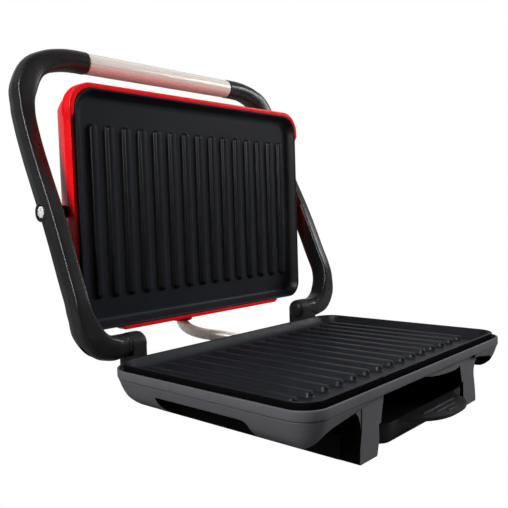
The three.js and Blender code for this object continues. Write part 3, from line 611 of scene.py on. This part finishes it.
def base_housing():
    hull = hull_stack("base_shell")
    hollow_levels = [(z + HULL_WALL, inset + HULL_WALL) for z, inset in HULL[:-1]]
    hollow = Shape().stack(BASE_HALF, BASE_SPAN, BASE_CORNER, hollow_levels, arc=20, rear=BASE_REAR_CORNER)
    combine(hull, [hollow.build("hollow")], "DIFFERENCE")
    inside = Shape().box(-125, 125, BULKHEAD_Y, 24.5, HULL_BOTTOM - 1, SCREW_POST_TOP)
    for _, side in SIDES:
        inside.box(*across(side, GRIP_WALL, 130), 25, 104.4, HULL_BOTTOM - 1, -10)
        inside.box(*across(side, GRIP_WALL, 130), 17.6, 21.5, HULL_BOTTOM - 1, -10)
        inside.box(*across(side, GRIP_WALL, 130), 20, 26, HULL_BOTTOM - 1, -10)
    pieces = [inside.build("inside")]
    for x, y in SCREWS:
        post = [(0, HULL_BOTTOM - 1), (5, HULL_BOTTOM - 1), (5, SCREW_POST_TOP), (0, SCREW_POST_TOP)]
        pieces.append(Shape().lathe_z(post, x, y, 28).build("post"))
    inner = pieces[0]
    inner_mod = inner.modifiers.new("self", "BOOLEAN")
    inner_mod.operation = "UNION"
    inner_mod.solver = "EXACT"
    inner_mod.use_self = True
    inner_mod.object = pieces[1]
    bake(inner)
    combine(inner, pieces[2:], "UNION")
    bpy.data.objects.remove(pieces[1])
    combine(inner, [hull_stack("trim")], "INTERSECT")
    combine(hull, [inner], "UNION")
    cuts = [Shape().box(-72, 72, FRONT - 1, BULKHEAD_Y, LEG_BOTTOM - 1, HULL_TOP + 1).build("cut")]
    cuts += [Shape().prism_y(flip(CORNER_CUT, side), FRONT - 1, BULKHEAD_Y).build("cut")
             for _, side in SIDES]
    combine(hull, cuts, "DIFFERENCE")
    extras = [Shape().box(-60, 60, 22.1, 124.4, -30, -20.6).build("bay"),
              Shape().prism_y(VALANCE, FRONT + 2.2, FRONT + 4.6).build("valance")]
    for _, side in SIDES:
        extras.append(Shape().prism_y(flip(LEG_POST, side), LEG_FRONT, -8).build("post"))
        gusset = Shape().prism_y(flip(LEG_GUSSET, side), LEG_FRONT + 0.4, LEG_FRONT + 3.4)
        extras.append(gusset.build("gusset"))
        runner = Shape().box(*across(side, RUNNER_INNER, 58.6), -8.1, BAY_BACK, LEG_BOTTOM, LEG_BOTTOM + 2)
        extras.append(runner.build("runner"))
        extras.append(Shape().box(*across(side, BAY_HALF, 75), -8.1, 30, -30, -26).build("neck"))
        extras.append(Shape().box(*across(side, 57.7, 60), -8.3, 23, -29.5, HULL_TOP).build("bay_side"))
    combine(hull, extras, "UNION")
    cuts = [Shape().box(-BAY_HALF, BAY_HALF, -8.2, BAY_BACK, LEG_BOTTOM + 2, BAY_TOP).build("cut"),
            Shape().box(-57.3, 57.3, -30, -8, LEG_BOTTOM + 2, -23.02).build("cut"),
            Shape().box(-RUNNER_INNER, RUNNER_INNER, -8.4, BAY_BACK + 0.2,
                        LEG_BOTTOM - 1, LEG_BOTTOM + 3).build("cut")]
    for _, side in SIDES:
        cuts.append(Shape().prism_x(GRIP_CUT, *across(side, GRIP_BACK, 130)).build("cut"))
        cuts.append(Shape().box(*across(side, 63, 72.5), 4, BAY_BACK, LEG_BOTTOM - 1, -29).build("cut"))
    for x, y in SCREWS:
        cuts.append(Shape().lathe_z([(0, -30), (1.9, -30), (1.9, -8), (0, -8)], x, y, 20).build("cut"))
        cuts.append(Shape().lathe_z([(0, -30), (4, -30), (4, -26.2), (0, -26.2)], x, y, 28).build("cut"))
    cuts.append(Shape().lathe_y([(0, 138), (5, 138), (5, 152), (0, 152)], CORD_X, CORD_Z, 32).build("cut"))
    cuts.append(Shape().lathe_y([(0, 138), (CONDUIT_R, 138), (CONDUIT_R, 152), (0, 152)],
                                CONDUIT_BASE_X, CONDUIT_BASE_Z, 32).build("cut"))
    combine(hull, cuts, "DIFFERENCE", 28)
    finish_piece(hull, "housing", "base", "base_plastic", "base_housing")
    # The inner faces, the bay, the grip pockets' back walls and all else not on the outside get the
    # near-black painted shade.
    hull.data.materials.append(MAT["shadow"])
    for face in hull.data.polygons:
        if not on_outside((face.center - at(0, 0, 0)) / MM, face.normal):
            face.material_index = 1
    return hull


base_housing()


def skid(side, name):
    """Rail that carries on backwards from the leg, with its rear end rounded over."""
    rail = Shape().prism_x(SKID, *across(side, BAY_HALF, SKID_OUTER)).build("rail")
    combine(rail, [Shape().box(*across(side, 63, 72.5), 4, BAY_BACK, LEG_BOTTOM - 1, -29).build("cut")],
            "DIFFERENCE")
    rounded(rail, 0.5, 2, 50)
    rail.name = f"skid_rail_{name}"
    # The rail takes the near-black satin, not the housing's grey: partly black plastic, partly painted
    # shade under the base.
    return finish_piece(rail, "satin", "base", "base_plastic")


for name, side in SIDES:
    skid(side, name)

# ---- Drip tray ------------------------------------------------------------------------------------

TRAY_FRONT, TRAY_BACK = -24.4, 116
TRAY_HALF = 56.4
TRAY_TOP = -24.6


def drip_tray():
    shape = Shape()
    shape.stack(TRAY_HALF, (TRAY_FRONT, TRAY_BACK), 11,
                [(-37.2, 3.2), (-37.0, 2.2), (-36.3, 1.2), (-35.2, 0.6), (-33.0, 0.3), (-25.2, 0),
                 (-24.8, 0.15), (TRAY_TOP, 0.6), (TRAY_TOP, 1.5), (-24.8, 1.9), (-26, 2.1), (-33.6, 2.9),
                 (-34.7, 3.5), (-35.2, 4.8)], arc=12)
    tongue = [(46, 1.2), (41, 0.6), (37, -0.8), (33.6, -3.0), (31, -6.2), (28.4, -10.2), (25, -13.6),
              (20.6, -16.6), (15.4, -18.8), (10, -20.1), (5, -20.55)]
    edge = [(x, TRAY_FRONT + dy) for x, dy in tongue]
    edge += [(0, TRAY_FRONT - 20.6)] + [(-x, y) for x, y in reversed(edge)]

    def ring(z, shrink):
        cx, cy = 0, TRAY_FRONT - 6
        return [(cx + (x - cx) * (1 - shrink / 40), cy + (y - cy) * (1 - shrink / 16) if y < cy else y, z)
                for x, y in edge]

    shape.skin([ring(TRAY_TOP - 2.4, 0.5), ring(TRAY_TOP - 2.2, 0.1), ring(TRAY_TOP - 1.9, 0),
                ring(TRAY_TOP - 0.6, 0), ring(TRAY_TOP - 0.25, 0.12), ring(TRAY_TOP - 0.1, 0.5)])
    for half, dy in ((20.5, -7.2), (12.5, -11.8), (5.5, -16)):
        y = TRAY_FRONT + dy
        rings = []
        for z, w, trim in ((TRAY_TOP - 0.6, 0.9, 0), (TRAY_TOP + 0.35, 0.8, 0.1),
                           (TRAY_TOP + 0.7, 0.55, 0.4), (TRAY_TOP + 0.8, 0.25, 0.8)):
            h = half - trim
            rings.append([(-h, y - w, z), (h, y - w, z), (h + 0.4, y, z), (h, y + w, z), (-h, y + w, z),
                          (-h - 0.4, y, z)])
        shape.skin(rings)
    obj = shape.build("drip_tray_body", 40)
    return finish_piece(obj, "tray", "tray", "tray_plastic", "drip_tray")


drip_tray()

# ---- Hinge brackets -------------------------------------------------------------------------------

KNUCKLE_RADIUS = 8.6
KNUCKLE_X = (88.4, 102.8)


def hinge_bracket(side, name):
    inner, outer = KNUCKLE_X
    rear = HINGE_Y + KNUCKLE_RADIUS
    points = [(HINGE_Y - KNUCKLE_RADIUS, RIM_TOP + 0.5), (REAR + 0.4, RIM_TOP + 0.5), (REAR + 0.4, -6.4),
              (REAR - 0.8, -6.6), (REAR - 1.3, -8.4), (REAR - 2, -11), (REAR - 2.8, -13.1),
              (REAR - 3.9, -15.4), (REAR + 8, -15.4), (REAR + 11.5, -11), (rear, -4)]
    for k in range(33):
        a = math.pi * k / 32
        r = KNUCKLE_RADIUS - 0.5 * math.sin(a)
        points.append((HINGE_Y + r * math.cos(a), HINGE_Z + r * math.sin(a)))
    knuckle = Shape().prism_x(points, *across(side, inner + 3.2, outer)).build("knuckle")
    dome = [(0, inner)]
    for k in range(10):
        a = math.pi / 2 * k / 9
        dome.append((KNUCKLE_RADIUS - 5.6 + 5.6 * math.sin(a), inner + 5.8 * (1 - math.cos(a))))
    dome += [(KNUCKLE_RADIUS, outer - 0.5), (KNUCKLE_RADIUS - 0.5, outer), (0, outer)]
    pad = Shape().box(*across(side, outer - 1, 109), 145.6, 149, RIM_TOP + 0.5, 4.2).build("pad")
    barrel = Shape().lathe_x(dome, HINGE_Y, HINGE_Z, side, 56).build("barrel")
    combine(knuckle, [barrel, pad], "UNION", 30)
    combine(knuckle, [Shape().lathe_x([(0, inner + 4), (3.3, inner + 4), (3.3, outer + 2), (0, outer + 2)],
                                      HINGE_Y, HINGE_Z, side).build("bore")], "DIFFERENCE", 30)
    knuckle.name = f"hinge_knuckle_{name}"
    return finish_piece(knuckle, "knuckle", "base", "black_plastic", f"hinge_bracket_{name}")


for name, side in SIDES:
    hinge_bracket(side, name)

# ---- Arms and handle ------------------------------------------------------------------------------

ARM_X = 138.4
ARM_WIDTH = 11.0
STUB_X = 103.2
HANDLE_Y, HANDLE_Z = 226.0, 224.0
HANDLE_HALF = 79.0
HANDLE_R = 8.3
# The arm's section as shares of its width and depth: a flat front, and an outer face in two facets.
ARM_SECTION = [(-0.50, -0.36), (-0.47, -0.44), (-0.40, -0.49), (-0.32, -0.50), (0.30, -0.50),
               (0.40, -0.485), (0.47, -0.44), (0.505, -0.36), (0.535, -0.10), (0.545, -0.02), (0.535, 0.06),
               (0.475, 0.36), (0.44, 0.44), (0.36, 0.49), (0.28, 0.50), (-0.34, 0.50), (-0.44, 0.465),
               (-0.49, 0.39)]

# Stations of the right arm from the hinge to the handle: x, y, z, width, depth, and roundness, which
# is 1 where the section is a circle.
ARM_STATIONS = [
    (STUB_X, HINGE_Y, HINGE_Z, 17, 17, 1),
    (109, HINGE_Y, HINGE_Z, 17, 17, 1),
    (116.5, HINGE_Y, 11.4, 17.6, 17, 0.55),
    (126.8, HINGE_Y + 0.2, 15.4, 18, 17, 0.2),
    (134, HINGE_Y + 0.8, 24.6, 16.6, 16.8, 0),
    (137.5, HINGE_Y + 2.6, 37, 12.6, 16.8, 0),
    (ARM_X, 160.2, 48, ARM_WIDTH, 16.8, 0),
    (ARM_X, 167.2, 64, ARM_WIDTH, 16.8, 0),
    (ARM_X, 176, 85, ARM_WIDTH, 16.8, 0),
    (ARM_X, 185.5, 106, ARM_WIDTH, 16.8, 0),
    (ARM_X, 197, 129, ARM_WIDTH, 16.8, 0),
    (ARM_X, 207, 150, ARM_WIDTH, 16.8, 0),
    (138.2, 215.2, 170, 11.4, 16.8, 0),
    (137.3, 219.6, 184, 12.6, 16.8, 0),
    (134.2, 223, 198, 16.2, 16.8, 0.05),
    (126, 225.2, 212.4, 17, 16.8, 0.2),
    (114, HANDLE_Y, 219.6, 16.8, 17, 0.5),
    (101, HANDLE_Y, 223, 17.2, 17.4, 0.8),
    (90, HANDLE_Y, HANDLE_Z, 17.6, 17.6, 1),
    (HANDLE_HALF + 0.4, HANDLE_Y, HANDLE_Z, 17.6, 17.6, 1),
]
PER_STATION = 5


def circle_x(x, y, z, radius, segments):
    """Ring of points round a line along X."""
    turns = [2 * math.pi * k / segments for k in range(segments)]
    return [(x, y + radius * math.cos(a), z + radius * math.sin(a)) for a in turns]


def dense_section():
    """The section with its rounded corners smoothed once more."""
    pts = ARM_SECTION
    out = []
    for k, p in enumerate(pts):
        q = pts[(k + 1) % len(pts)]
        out.append((p[0] * 0.75 + q[0] * 0.25, p[1] * 0.75 + q[1] * 0.25))
        out.append((p[0] * 0.25 + q[0] * 0.75, p[1] * 0.25 + q[1] * 0.75))
    return out


def arm_section(section, place):
    """The section at a place along the stations, part-way between a circle and the faceted outline."""
    low = min(int(place), len(ARM_STATIONS) - 2)
    share = ease(place - low) if place < len(ARM_STATIONS) - 1 else 1.0
    width, depth, round_share = (ARM_STATIONS[low][i] * (1 - share) + ARM_STATIONS[low + 1][i] * share
                                 for i in (3, 4, 5))
    out = []
    for u, v in section:
        pull = 1 - round_share + round_share * 0.5 / math.hypot(u, v)
        out.append((u * pull * width, v * pull * depth))
    return out


def arm(name, side):
    section = dense_section()
    path = spline([station[:3] for station in ARM_STATIONS], PER_STATION)
    rings = []
    for i, p in enumerate(path):
        tangent = (path[min(i + 1, len(path) - 1)] - path[max(i - 1, 0)]).normalized()
        rear = Vector((0, 1, 0))
        rear = (rear - tangent * rear.dot(tangent)).normalized()
        out = rear.cross(tangent)
        rings.append([tuple(p + out * u + rear * v) for u, v in arm_section(section, i / PER_STATION)])
    body = Shape().skin(rings).build("bar", 28)
    inner, outer = ARM_X - ARM_WIDTH / 2, ARM_X + ARM_WIDTH / 2
    extras = [
        Shape().lathe_x([(0, inner - 1.8), (5.2, inner - 1.8), (5.5, inner - 1.5), (5.5, inner + 2),
                         (0, inner + 2)], PIVOT_Y, PIVOT_Z).build("inner_boss"),
        Shape().lathe_x([(0, inner + 1), (6.8, inner + 1), (6.8, outer), (6.65, outer + 0.35),
                         (6.3, outer + 0.5), (0, outer + 0.5)], PIVOT_Y, PIVOT_Z).build("boss"),
        Shape().lathe_x([(0, HANDLE_HALF - 9), (6.5, HANDLE_HALF - 9), (6.5, HANDLE_HALF + 2),
                         (0, HANDLE_HALF + 2)], HANDLE_Y, HANDLE_Z).build("spigot"),
    ]
    combine(body, extras, "UNION", 28)
    slot = Shape()
    rings = []
    for depth in (-2.5, 3.0):
        ring = []
        for k in range(40):
            a = 2 * math.pi * k / 40
            u, v = 10.5 * math.cos(a), 3.3 * math.sin(a)
            ring.append((132.2 + (u + depth) * math.sqrt(0.5), HINGE_Y + 1.4 + v,
                         9.6 + (u - depth) * math.sqrt(0.5)))
        rings.append(ring)
    slot.skin(rings)
    groove = ((7.9, 106.1), (9.0, 106.1), (9.0, 106.6), (7.9, 106.6))
    ring_groove = Shape().skin([circle_x(x, HINGE_Y, HINGE_Z, r, 56) for r, x in groove], ring_loop=True)
    cuts = [
        slot.build("slot"),
        ring_groove.build("groove"),
        Shape().lathe_x([(0, outer - 2.0), (5.25, outer - 2.0), (5.25, outer + 3), (0, outer + 3)],
                        PIVOT_Y, PIVOT_Z).build("recess"),
        Shape().lathe_x([(0, inner - 3), (2.9, inner - 3), (2.9, outer + 2), (0, outer + 2)],
                        PIVOT_Y, PIVOT_Z, 1, 28).build("bore"),
        Shape().lathe_x([(0, STUB_X - 2), (3.3, STUB_X - 2), (3.3, 117.5), (0, 117.5)],
                        HINGE_Y, HINGE_Z, 1, 28).build("bore"),
    ]
    combine(body, cuts, "DIFFERENCE", 28)
    piece = body if side > 0 else mirror_x(body, "arm")
    if side < 0:
        bpy.data.objects.remove(body)
    piece.name = f"swept_arm_{name}"
    return finish_piece(piece, "gloss", "arms", "arm_plastic", f"arm_{name}")


for name, side in SIDES:
    arm(name, side)


def handle():
    profile = [(6.9, -HANDLE_HALF), (8.1, -HANDLE_HALF), (8.25, -HANDLE_HALF + 0.15),
               (HANDLE_R, -HANDLE_HALF + 0.5)]
    profile += [(HANDLE_R, x) for x in range(-75, 76, 10)]
    profile += [(HANDLE_R, HANDLE_HALF - 0.5), (8.25, HANDLE_HALF - 0.15), (8.1, HANDLE_HALF),
                (6.9, HANDLE_HALF)]
    rings = [circle_x(x, HANDLE_Y, HANDLE_Z, r, 72) for r, x in profile]
    obj = Shape().skin(rings, ring_loop=True).build("handle_bar", 40)
    return finish_piece(obj, "handle", "arms", "handle_metal", "handle_tube")


handle()


def pivot_screw(name, side):
    outer = ARM_X + ARM_WIDTH / 2
    profile = [(0, 114), (2.3, 114), (2.6, 114.4), (2.6, outer - 1.7), (4.1, outer - 1.7),
               (4.3, outer - 1.5), (4.3, outer - 0.5), (4.1, outer - 0.1), (3.5, outer + 0.2),
               (2.4, outer + 0.38), (0, outer + 0.45)]
    head = Shape().lathe_x(profile, PIVOT_Y, PIVOT_Z, side, 40).build("screw", 40)
    for a in (0.35, 0.35 + math.pi / 2):
        u = Vector((0, math.cos(a), math.sin(a)))
        v = Vector((0, -math.sin(a), math.cos(a)))
        rings = []
        for x in (outer - 0.5, outer + 1):
            ring = [(2.6, 0.45), (-2.6, 0.45), (-2.6, -0.45), (2.6, -0.45)]
            rings.append([(side * x, PIVOT_Y + (u * p + v * q).y, PIVOT_Z + (u * p + v * q).z)
                          for p, q in ring])
        combine(head, [Shape().skin(rings).build("slot")], "DIFFERENCE", 40)
    head.name = f"pivot_screw_{name}"
    return finish_piece(head, "chrome", "arms", "chrome_screw", f"lid_pivot_screw_{name}")


for name, side in SIDES:
    pivot_screw(name, side)

# ---- Lid ------------------------------------------------------------------------------------------

LID_HALF = 126.4
LID_SIDE_HALF = 124.8
LID_SPAN = (-25.6, 154.8)
LID_CORNER = 19.0
LID_PROFILE = [(-7.0, 3.9), (2.6, 3.9), (3.0, 3.6), (3.1, 3.2), (3.1, 1.1), (3.0, 0.6), (2.6, 0.15),
               (2.0, 0.0), (-6.9, 0.0), (-7.6, 0.2), (-8.0, 0.9), (-8.2, 2.2), (-8.8, 3.0), (-11, 3.5),
               (-16, 4.7), (-22, 6.4), (-27, 8.6), (-31, 11.2), (-34, 13.7), (-37, 17.0), (-39.4, 20.7),
               (-41.3, 25.2), (-42.4, 30.2), (-42.9, 35.5), (-43.0, 41.0)]


def lid_flange(x, y, z):
    """The flange is narrower and stands back along the sides, and stops short beside the hinge end."""
    if z < -8.1:
        return lid_point(x, y, z)
    side = ease((abs(x) - 117.0) / 5.0) * (1 - ease((y - 127.0) / 5.0))
    if abs(x) > LID_SIDE_HALF:
        x = math.copysign(abs(x) + (LID_SIDE_HALF - abs(x)) * (1 - ease((y - 128.0) / 3.0)), x)
    z = min(z, 3.1 - 2.3 * side - (3.1 - z) * (1 - side)) if z > 0 else z
    corner = ease((abs(x) - 89.0) / 4.0) * (1 - ease((y + 14.0) / 6.0))
    z = min(z, 3.1 - 7.5 * corner - (3.1 - z) * (1 - corner) * 0.2) if z > -4.5 else z
    if y < -22.9:
        y = y + (-23.1 - y) * ease((abs(x) - 87.0) / 4.0)
    return lid_point(x, y, z)


def conduit_circle(y, radius, segments):
    """Ring of points round the conduit's way into the lid, at a height in the lid's own layout."""
    middle = LID_RIB_Y - CONDUIT_LID_Y
    turns = [2 * math.pi * k / segments for k in range(segments)]
    return [lid_point(CONDUIT_X + radius * math.cos(a), y, middle + radius * math.sin(a)) for a in turns]


def lid_housing():
    shell = Shape().stack(LID_HALF, LID_SPAN, LID_CORNER, LID_PROFILE, arc=18, step=3.5, place=lid_flange)
    shell = shell.build("lid_shell_cover", 35)
    boss_profile = ((0.02, -33.5), (7.8, -33.5), (8.6, -33.2), (8.9, -32.4), (9.3, -31), (9.5, -20),
                    (9.6, -3), (0.02, -3))
    boss = Shape().skin([conduit_circle(y, r, 40) for r, y in boss_profile])
    combine(shell, [boss.build("boss")], "UNION", 35)
    cuts = [Shape().skin([conduit_circle(y, CONDUIT_HOLE_R, 32) for y in (-36, 2)]).build("hole")]
    bore = [(0, 116), (3.9, 116), (3.9, 132), (0, 132)]
    for _, side in SIDES:
        cuts.append(Shape().lathe_x(bore, PIVOT_Y, PIVOT_Z, side, 32).build("bore"))
    combine(shell, cuts, "DIFFERENCE", 35)
    return finish_piece(shell, "red", "lid", "red_lid", "lid_housing")


lid_housing()


def pivot_bush(name, side):
    profile = ((2.95, 117.5), (3.4, 117.5), (3.6, 117.8), (3.6, 124.4), (4.6, 124.6), (4.8, 125.0),
               (4.8, 126.9), (4.4, 127.2), (2.95, 127.2))
    rings = [circle_x(side * x, PIVOT_Y, PIVOT_Z, r, 36) for r, x in profile]
    obj = Shape().skin(rings, ring_loop=True).build(f"pivot_bush_{name}", 40)
    return finish_piece(obj, "satin", "lid", "black_plastic", f"lid_pivot_bush_{name}")


for name, side in SIDES:
    pivot_bush(name, side)

# ---- Conduit --------------------------------------------------------------------------------------

CONDUIT_ROUTE = [(CONDUIT_BASE_X, 157.4, CONDUIT_BASE_Z), (31, 163.5, -11), (26, 172, -7.5),
                 (18.5, 184, -5), (10.5, 194, -3), (4.5, 203, 0), (1.4, 209, 4),
                 (CONDUIT_X, CONDUIT_LID_Y, 9), (CONDUIT_X, CONDUIT_LID_Y, 14)]


def tube(points, radius, segments=28):
    rings = []
    for i, p in enumerate(points):
        tangent = (points[min(i + 1, len(points) - 1)] - points[max(i - 1, 0)]).normalized()
        u = Vector((1, 0, 0))
        v = tangent.cross(u).normalized()
        rings.append([tuple(p + u * (radius * math.cos(2 * math.pi * k / segments))
                            + v * (radius * math.sin(2 * math.pi * k / segments)))
                      for k in range(segments)])
    return Shape().skin(rings)


def conduit():
    points = spline(CONDUIT_ROUTE, 6)
    middle = len(points) * 4 // 9
    lower = tube(points[:middle + 1], CONDUIT_R).build("conduit_lower", 50)
    upper = tube(points[middle:], CONDUIT_R).build("conduit_upper", 50)
    start, mid, end = (at(*points[k]) for k in (2, middle, -3))
    for obj, bodies, ends in ((lower, ("base", "arms"), (start, mid)),
                              (upper, ("arms", "lid"), (mid, end))):
        obj.data.materials.append(MAT["conduit"])
        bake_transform(obj)
    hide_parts("conduit")


conduit()

# ---- Floor, light and camera ----------------------------------------------------------------------


def floor():
    shape = Shape()
    reach = 6000
    cells = 12
    z = GROUND_Z - 0.15
    lines = [-reach + 2 * reach * i / cells for i in range(cells + 1)]
    grid = [[(x, y, z) for x in lines] for y in lines]
    for row in grid:
        shape.verts.extend(row)
    for j in range(cells):
        for i in range(cells):
            a = j * (cells + 1) + i
            shape.faces.append((a, a + 1, a + cells + 2, a + cells + 1))
    obj = shape.build("floor")
    m = Nodes("pale_floor")
    tree = m.tree
    m.link(m.mix(m.ramp(m.noise(3, 2), 0, 1), (0.13, 0.13, 0.13), (0.16, 0.16, 0.16)), "Base Color")
    m.set(Roughness=0.9, Specular_IOR_Level=0.1)
    glow = m.add("ShaderNodeEmission", {"Color": (1, 1, 1, 1), "Strength": 1.0})
    ray = m.add("ShaderNodeLightPath")
    blend = m.add("ShaderNodeMixShader")
    tree.links.new(ray.outputs["Is Camera Ray"], blend.inputs[0])
    tree.links.new(m.bsdf.outputs[0], blend.inputs[1])
    tree.links.new(glow.outputs[0], blend.inputs[2])
    tree.links.new(blend.outputs[0], tree.nodes["Material Output"].inputs["Surface"])
    obj.data.materials.append(m.mat)


floor()


def area_light(name, place, target, size, power, mirrored_in_gloss=True):
    data = bpy.data.lights.new(name, "AREA")
    data.shape = "RECTANGLE"
    data.size, data.size_y = size
    data.energy = power
    obj = bpy.data.objects.new(name, data)
    obj.location = place
    obj.rotation_euler = (Vector(target) - Vector(place)).to_track_quat("-Z", "Y").to_euler()
    obj.visible_glossy = mirrored_in_gloss
    bpy.context.scene.collection.objects.link(obj)
    return obj


TARGET = (0, 0.03, 0.1)
area_light("left_softbox", (-1.3, 0.25, 0.75), (0, 0.1, 0.12), (0.9, 0.9), 24, mirrored_in_gloss=False)
area_light("top_softbox", (0.1, -0.1, 1.5), TARGET, (1.2, 1.0), 8, mirrored_in_gloss=False)
area_light("front_right_softbox", (1.4, -1.0, 0.75), TARGET, (0.7, 0.7), 40, mirrored_in_gloss=False)
# These two only show as reflections: a line along the arms' front outer edges, and glints on the rib
# ends.
for reflection in (area_light("edge_strip", (-1.1, -0.32, 0.85), (-0.14, 0.1, 0.15), (0.14, 0.9), 9),
                   area_light("glint_light", (1.35, -0.85, 0.85), (0, -0.08, 0.04), (0.3, 0.3), 2.4)):
    reflection.visible_diffuse = False


def studio_world():
    """White to the camera; a bright backdrop behind and a dim room in front for everything else."""
    world = bpy.data.worlds.new("studio")
    bpy.context.scene.world = world
    world.use_nodes = True
    tree = world.node_tree
    back = tree.nodes["Background"]
    coord = tree.nodes.new("ShaderNodeTexCoord")
    toward = tree.nodes.new("ShaderNodeVectorMath")
    toward.operation = "DOT_PRODUCT"
    toward.inputs[1].default_value = (0.72, 0.66, 0.22)
    tree.links.new(coord.outputs["Generated"], toward.inputs[0])
    fade = tree.nodes.new("ShaderNodeMapRange")
    for key, value in (("From Min", -0.5), ("From Max", 0.9), ("To Min", 0.03), ("To Max", 0.34)):
        fade.inputs[key].default_value = value
    tree.links.new(toward.outputs["Value"], fade.inputs["Value"])
    ray = tree.nodes.new("ShaderNodeLightPath")
    strength = tree.nodes.new("ShaderNodeMix")
    tree.links.new(ray.outputs["Is Camera Ray"], strength.inputs["Factor"])
    tree.links.new(fade.outputs["Result"], strength.inputs["A"])
    strength.inputs["B"].default_value = 1.0
    tree.links.new(strength.outputs["Result"], back.inputs["Strength"])
    back.inputs["Color"].default_value = (1, 1, 1, 1)


studio_world()
bpy.context.scene.view_settings.view_transform = "Standard"

# The camera stands to the front left of the press and a little above it.
CAMERA_PLACE = (-372.34, -214.12, 99.62)
CAMERA_YAW, CAMERA_PITCH, CAMERA_ROLL = 47.852, -3.427, 1.774
CAMERA_LENS = 45.10


def camera():
    data = bpy.data.cameras.new("camera")
    data.sensor_width = 36
    data.lens = CAMERA_LENS
    data.clip_start = 0.01
    obj = bpy.data.objects.new("camera", data)
    yaw, pitch, roll = (math.radians(a) for a in (CAMERA_YAW, CAMERA_PITCH, CAMERA_ROLL))
    forward = Vector((math.sin(yaw) * math.cos(pitch), math.cos(yaw) * math.cos(pitch), math.sin(pitch)))
    flat_right = Vector((math.cos(yaw), -math.sin(yaw), 0))
    flat_down = forward.cross(flat_right)
    right = flat_right * math.cos(roll) + flat_down * math.sin(roll)
    down = flat_down * math.cos(roll) - flat_right * math.sin(roll)
    turn = Matrix((right, -down, -forward)).transposed()
    obj.matrix_world = Matrix.Translation(at(*CAMERA_PLACE)) @ turn.to_4x4()
    bpy.context.scene.collection.objects.link(obj)
    bpy.context.scene.camera = obj


camera()
